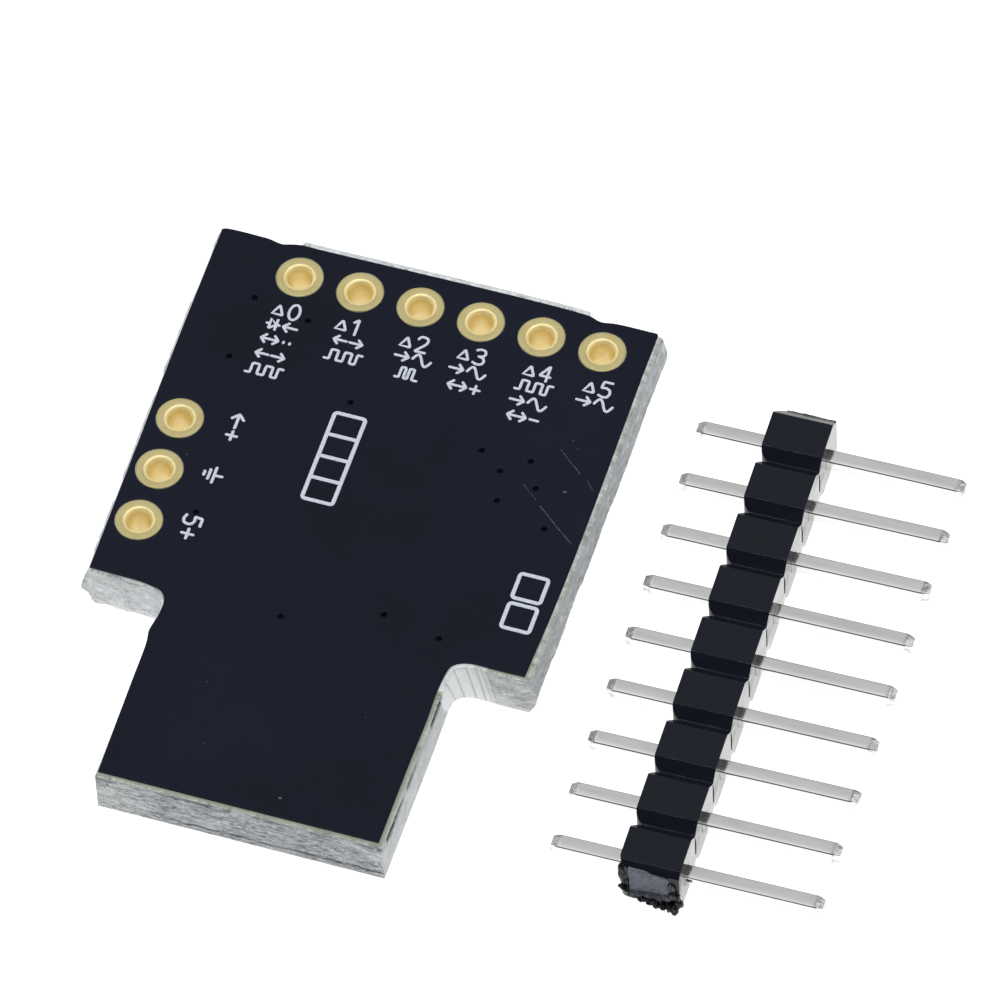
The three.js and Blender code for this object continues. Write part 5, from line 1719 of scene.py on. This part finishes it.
# glass diodes
for node in ("zener_diode_data_minus", "zener_diode_data_plus"):
    b = bx(node)
    cx, cy = (b[0] + b[1]) / 2, (b[2] + b[3]) / 2
    R = 0.70
    cz = Z_COMP - R - 0.01

    def turned(profile, seg=56):
        """(along x, radius) turned round the diode's axis."""
        a = np.linspace(0, 2 * math.pi, seg, endpoint=False)
        secs = [np.stack([np.full(seg, cx + x), cy + r * np.cos(a), cz + r * np.sin(a)], 1) for x, r in profile]
        v, f = loft(secs)
        return v, fix_winding(v - v.mean(0), f)

    g = Geo()
    g.add(*turned([(-1.40, 0.58), (-1.37, 0.63), (-1.30, 0.655), (-1.0, 0.66), (1.0, 0.66), (1.30, 0.655), (1.37, 0.63), (1.40, 0.58)]))
    piece(node.replace("zener_diode", "zener") + "_glass", g, GLASS, replaces=[node], angle=35)
    g = Geo()
    g.add(*turned([(-1.33, 0.40), (-0.28, 0.40), (-0.22, 0.36), (-0.16, 0.22)]))
    g.add(*turned([(0.16, 0.22), (0.22, 0.36), (0.28, 0.40), (1.33, 0.40)]))
    g.add(*turned([(-0.19, 0.16), (-0.17, 0.18), (0.17, 0.18), (0.19, 0.16)]))
    piece(node.replace("zener_diode", "zener") + "_slugs", g, SLUG, angle=35)
    g = Geo()
    for s in (-1, 1):
        prof = [(1.28, 0.62), (1.30, 0.69), (1.34, 0.70), (1.66, 0.70), (1.71, 0.68), (1.745, 0.60), (1.75, 0.40)]
        g.add(*turned([(s * x, r) for x, r in (prof if s > 0 else prof[::-1])]))
        t = [cx + s * 1.30, cx + s * 1.75]
        x0, x1 = sorted((cx + s * 1.15, cx + s * 2.20))
        land(x0, x1, cy - 0.85, cy + 0.85, (min(t), max(t), cy - 0.34, cy + 0.34), 0.50, 41 + s + int(cx))
    piece(node.replace("zener_diode", "zener") + "_caps", g, TIN, angle=35)


def chip(node, name, body_mat, top_mat, seed):
    b = bx(node)
    x0, x1, y0, y1, z0, z1 = b
    along_x = (x1 - x0) > (y1 - y0)
    g = Geo()
    t = 0.38
    inset = 0.025
    if along_x:
        g.add(*rbox(x0 + 0.03, x1 - 0.03, y0 + inset, y1 - inset, z0 + inset, z1 - 0.03, r=0.04, seg=2))
        ends = [(x0, x0 + t, y0, y1), (x1 - t, x1, y0, y1)]
        top = (x0 + t + 0.02, x1 - t - 0.02, y0 + 0.05, y1 - 0.05)
    else:
        g.add(*rbox(x0 + inset, x1 - inset, y0 + 0.03, y1 - 0.03, z0 + inset, z1 - 0.03, r=0.04, seg=2))
        ends = [(x0, x1, y0, y0 + t), (x0, x1, y1 - t, y1)]
        top = (x0 + 0.05, x1 - 0.05, y0 + t + 0.02, y1 - t - 0.02)
    if top_mat is not None:
        v, f = rbox(*top, z0 - 0.004, z0 + 0.06, r=0.03, seg=2)
        g.add(v, f, 1)
    for e in ends:
        v, f = rbox(*e, z0, z1 - 0.01, r=0.05, seg=3)
        g.add(v, f, 2)
    for k, e in enumerate(ends):
        ex0, ex1, ey0, ey1 = e
        if along_x:
            s = -1 if k == 0 else 1
            lx0, lx1 = (ex0 - 0.55, ex1 + 0.12) if s < 0 else (ex0 - 0.12, ex1 + 0.55)
            land(lx0, lx1, ey0 - 0.12, ey1 + 0.12, (ex0, ex1, ey0 + 0.02, ey1 - 0.02), 0.78 * (z1 - z0), seed + k)
        else:
            s = -1 if k == 0 else 1
            ly0, ly1 = (ey0 - 0.55, ey1 + 0.12) if s < 0 else (ey0 - 0.12, ey1 + 0.55)
            land(ex0 - 0.12, ex1 + 0.12, ly0, ly1, (ex0 + 0.02, ex1 - 0.02, ey0, ey1), 0.78 * (z1 - z0), seed + k)
    return piece(name, g, [body_mat, top_mat or body_mat, TIN], replaces=[node], angle=35, weighted=True)


for k, n in enumerate(("status_led", "pull_up", "power_led", "data_minus", "data_plus")):
    chip("resistor_" + n, "chip_resistor_" + n, ALUMINA, OVERGLAZE, 60 + 3 * k)
for k, n in enumerate(("input", "output", "controller")):
    chip("capacitor_" + n, "chip_capacitor_" + n, TAN, None, 80 + 3 * k)
for k, (n, lens) in enumerate((("status_led", LENS_RED), ("power_led", LENS_GREEN))):
    chip(n + "_base", n + "_substrate", LED_WHITE, None, 90 + 3 * k)
    b = bx(n + "_lens")
    g = Geo()
    g.add(*rbox(b[0], b[1], b[2], b[3], b[4], b[5] + 0.02, r=0.10, seg=4))
    piece(n + "_dome", g, lens, replaces=[n + "_lens"], angle=40, weighted=True)

piece("solder_fillets", solder, SOLDER, angle=50)

# contact fingers of the plug
for node in CONTACT_NODES:
    b = bx(node)
    ring = rect_ring(b[0], b[1], b[2], b[3], 0.12, 5)
    inner = rect_ring(b[0] + 0.03, b[1] - 0.03, b[2] + 0.03, b[3] - 0.03, 0.10, 5)
    m = len(ring)
    secs = [np.concatenate([ring, np.full((m, 1), Z_SUB0)], 1), np.concatenate([ring, np.full((m, 1), Z_COMP + 0.006)], 1), np.concatenate([inner, np.full((m, 1), Z_COMP - 0.003)], 1)]
    v, f = loft(secs)
    g = Geo()
    g.add(v, fix_winding(v - v.mean(0), f))
    piece(node.replace("usb_contact", "gold_finger"), g, GOLD, replaces=[node], angle=35)

piece("solder_mask_components", build_mask(False), MASK, replaces=["solder_mask_component_side"], angle=55)

# component outlines and polarity marks, drawn in lines
under = Geo()
for node, pad in (("microcontroller_body", 0.12), ("schottky_diode_body", 0.18)):
    b = bx(node)
    for y in (b[2] - pad, b[3] + pad):
        under.add(*stroke(np.linspace((b[0] + 0.1, y), (b[1] - 0.1, y), 6), 0.14, 0.018, Z_COMP, -1.0))
b = bx("microcontroller_body")
under.add(*stroke(oval(b[0] - 0.55, b[3] + 0.35, 0.13, 0.13, 14), 0.12, 0.018, Z_COMP, -1.0))
b = bx("schottky_diode_body")
under.add(*stroke(np.linspace((b[0] - 1.35, b[2] + 0.1), (b[0] - 1.35, b[3] - 0.1), 6), 0.14, 0.018, Z_COMP, -1.0))
for node in ("resistor_status_led", "resistor_pull_up", "resistor_power_led", "capacitor_controller", "capacitor_input", "power_led_base"):
    b = bx(node)
    for y in (b[2] - 0.28, b[3] + 0.28):
        under.add(*stroke(np.linspace((b[0] + 0.25, y), (b[1] - 0.25, y), 4), 0.11, 0.018, Z_COMP, -1.0))
for node in ("resistor_data_minus", "resistor_data_plus", "capacitor_output", "status_led_base"):
    b = bx(node)
    for x in (b[0] - 0.28, b[1] + 0.28):
        under.add(*stroke(np.linspace((x, b[2] + 0.25), (x, b[3] - 0.25), 4), 0.11, 0.018, Z_COMP, -1.0))
for x, y, s in ((-2.42, -6.25, "+"), (-0.95, -10.36, "-"), (13.9, -3.35, "+")):
    legend_row(under, [s], x, y, label=False)
for k, (x, y) in enumerate(HOLES[:6]):
    legend_row(under, [str(k)], x - 1.27, y - 0.02, cap=0.62, w=0.11, label=False)
piece("legend_component_side", under, SILK, angle=50)

# ----------------------------------------------------------------------------------------------
# Stage: pale floor, soft light, camera
# ----------------------------------------------------------------------------------------------


def stage_mat():
    m = bpy.data.materials.new("studio_white")
    m.use_nodes = True
    t = m.node_tree
    for n in list(t.nodes):
        t.nodes.remove(n)
    out = t.nodes.new("ShaderNodeOutputMaterial")
    dif = t.nodes.new("ShaderNodeBsdfDiffuse")
    dif.inputs["Color"].default_value = (0.17, 0.17, 0.17, 1)
    glow = t.nodes.new("ShaderNodeEmission")
    glow.inputs["Color"].default_value = (1, 1, 1, 1)
    glow.inputs["Strength"].default_value = 1.06
    add = t.nodes.new("ShaderNodeAddShader")
    t.links.new(dif.outputs[0], add.inputs[0])
    t.links.new(glow.outputs[0], add.inputs[1])
    geo = t.nodes.new("ShaderNodeNewGeometry")
    clear = t.nodes.new("ShaderNodeBsdfTransparent")
    mix = t.nodes.new("ShaderNodeMixShader")
    t.links.new(geo.outputs["Backfacing"], mix.inputs[0])
    t.links.new(add.outputs[0], mix.inputs[1])
    t.links.new(clear.outputs[0], mix.inputs[2])
    t.links.new(mix.outputs[0], out.inputs["Surface"])
    return m


me = bpy.data.meshes.new("studio_floor")
S = 4.0
me.from_pydata([(-S, -S, -2e-5), (S, -S, -2e-5), (S, S, -2e-5), (-S, S, -2e-5)], [], [(0, 1, 2, 3)])
floor = bpy.data.objects.new("studio_floor", me)
bpy.context.scene.collection.objects.link(floor)
me.materials.append(stage_mat())

world = bpy.data.worlds.new("studio")
bpy.context.scene.world = world
world.use_nodes = True
wt = world.node_tree
for n in list(wt.nodes):
    wt.nodes.remove(n)
wo = wt.nodes.new("ShaderNodeOutputWorld")
tc = wt.nodes.new("ShaderNodeTexCoord")
sep = wt.nodes.new("ShaderNodeSeparateXYZ")
wt.links.new(tc.outputs["Generated"], sep.inputs[0])
mr = wt.nodes.new("ShaderNodeMapRange")
for k, v in zip(("From Min", "From Max", "To Min", "To Max"), (-1, 1, 0, 1)):
    mr.inputs[k].default_value = v
wt.links.new(sep.outputs[2], mr.inputs["Value"])
ramp = wt.nodes.new("ShaderNodeValToRGB")
wt.links.new(mr.outputs[0], ramp.inputs[0])
stops = [(0.0, 0.95), (0.45, 0.80), (0.50, 0.14), (0.625, 0.16), (0.70, 0.38), (0.80, 0.56), (0.94, 0.60), (0.975, 0.85), (1.0, 0.95)]
el = ramp.color_ramp.elements
el[0].position, el[1].position = 0.0, 1.0
for p, v in stops[1:-1]:
    el.new(p)
for e, (p, v) in zip(sorted(el, key=lambda q: q.position), stops):
    e.position = p
    e.color = (v, v, v * 1.01, 1)
bg = wt.nodes.new("ShaderNodeBackground")
wt.links.new(ramp.outputs[0], bg.inputs["Color"])


def world_range(source, lo, hi, a, b):
    n = wt.nodes.new("ShaderNodeMapRange")
    n.interpolation_type = "SMOOTHSTEP"
    for k, v in zip(("From Min", "From Max", "To Min", "To Max"), (lo, hi, a, b)):
        n.inputs[k].default_value = v
    wt.links.new(source, n.inputs["Value"])
    return n.outputs["Result"]


def world_math(op, a, b):
    n = wt.nodes.new("ShaderNodeMath")
    n.operation = op
    for k, v in enumerate((a, b)):
        if isinstance(v, (int, float)):
            n.inputs[k].default_value = v
        else:
            wt.links.new(v, n.inputs[k])
    return n.outputs[0]


# the near side of the room is dark up to half height, and a pale panel stands at the right
front = world_range(sep.outputs[1], -0.42, -0.08, 0.10, 1.0)
high = world_range(sep.outputs[2], 0.84, 0.95, 0.0, 1.0)
under = world_range(sep.outputs[2], -0.04, 0.0, 1.0, 0.0)
keep = world_math("MAXIMUM", world_math("MAXIMUM", front, high), under)
keep = world_math("MAXIMUM", keep, world_range(sep.outputs[2], 0.42, 0.60, 0.0, 0.34))
panel = world_math("MULTIPLY", world_range(sep.outputs[0], 0.25, 0.33, 0.0, 0.55), world_range(sep.outputs[2], 0.45, 0.60, 0.0, 1.0))
gap = world_math("MAXIMUM", world_range(sep.outputs[0], 0.02, 0.12, 1.0, 0.10), world_range(sep.outputs[0], 0.26, 0.32, 0.0, 1.0))
gap = world_math("MAXIMUM", gap, world_math("MAXIMUM", world_range(sep.outputs[2], 0.90, 0.96, 0.0, 1.0), under))
gap = world_math("MAXIMUM", gap, world_range(sep.outputs[1], -0.25, -0.05, 1.0, 0.0))
wt.links.new(world_math("MULTIPLY", world_math("MULTIPLY", keep, gap), world_math("ADD", panel, 1.0)), bg.inputs["Strength"])
white = wt.nodes.new("ShaderNodeBackground")
white.inputs["Color"].default_value = (1, 1, 1, 1)
lp = wt.nodes.new("ShaderNodeLightPath")
mx = wt.nodes.new("ShaderNodeMixShader")
wt.links.new(lp.outputs["Is Camera Ray"], mx.inputs[0])
wt.links.new(bg.outputs[0], mx.inputs[1])
wt.links.new(white.outputs[0], mx.inputs[2])
wt.links.new(mx.outputs[0], wo.inputs["Surface"])


def area(name, loc, size, power, target=(0, 0, 0)):
    l = bpy.data.lights.new(name, "AREA")
    l.shape = "RECTANGLE"
    l.size, l.size_y = size
    l.energy = power
    o = bpy.data.objects.new(name, l)
    bpy.context.scene.collection.objects.link(o)
    o.location = loc
    o.rotation_mode = "QUATERNION"
    o.rotation_quaternion = (Vector(target) - Vector(loc)).to_track_quat("-Z", "Y")
    o.visible_camera = False
    o.visible_glossy = False
    return o


area("overhead_softbox", (0.10, -0.15, 1.6), (1.1, 1.1), 22.0)
area("left_softbox", (-1.5, 0.5, 1.0), (0.9, 0.9), 6.0)

AZ, ELEV, ROLL, DIST = 20.935, 55.980, -3.590, 0.597954
TARGET = Vector((9.9278e-3 + OX * 1e-3, -5.1523e-3 + OY * 1e-3, 0.0))
a, e, r = (math.radians(q) for q in (AZ, ELEV, ROLL))
back = Vector((math.sin(a) * math.cos(e), -math.cos(a) * math.cos(e), math.sin(e)))
right = Vector((math.cos(a), math.sin(a), 0))
up = back.cross(right)
R = math.cos(r) * right + math.sin(r) * up
U = -math.sin(r) * right + math.cos(r) * up
cam = bpy.data.cameras.new("camera")
cam.sensor_width = 36.0
cam.lens = 14989.2 * 36.0 / 1000.0
cam.clip_start, cam.clip_end = 0.01, 50.0
cam_ob = bpy.data.objects.new("camera", cam)
bpy.context.scene.collection.objects.link(cam_ob)
cam_ob.matrix_world = Matrix(((R.x, U.x, back.x, 0), (R.y, U.y, back.y, 0), (R.z, U.z, back.z, 0), (0, 0, 0, 1)))
cam_ob.location = TARGET + back * DIST
bpy.context.scene.camera = cam_ob
bpy.context.scene.view_settings.view_transform = "Standard"
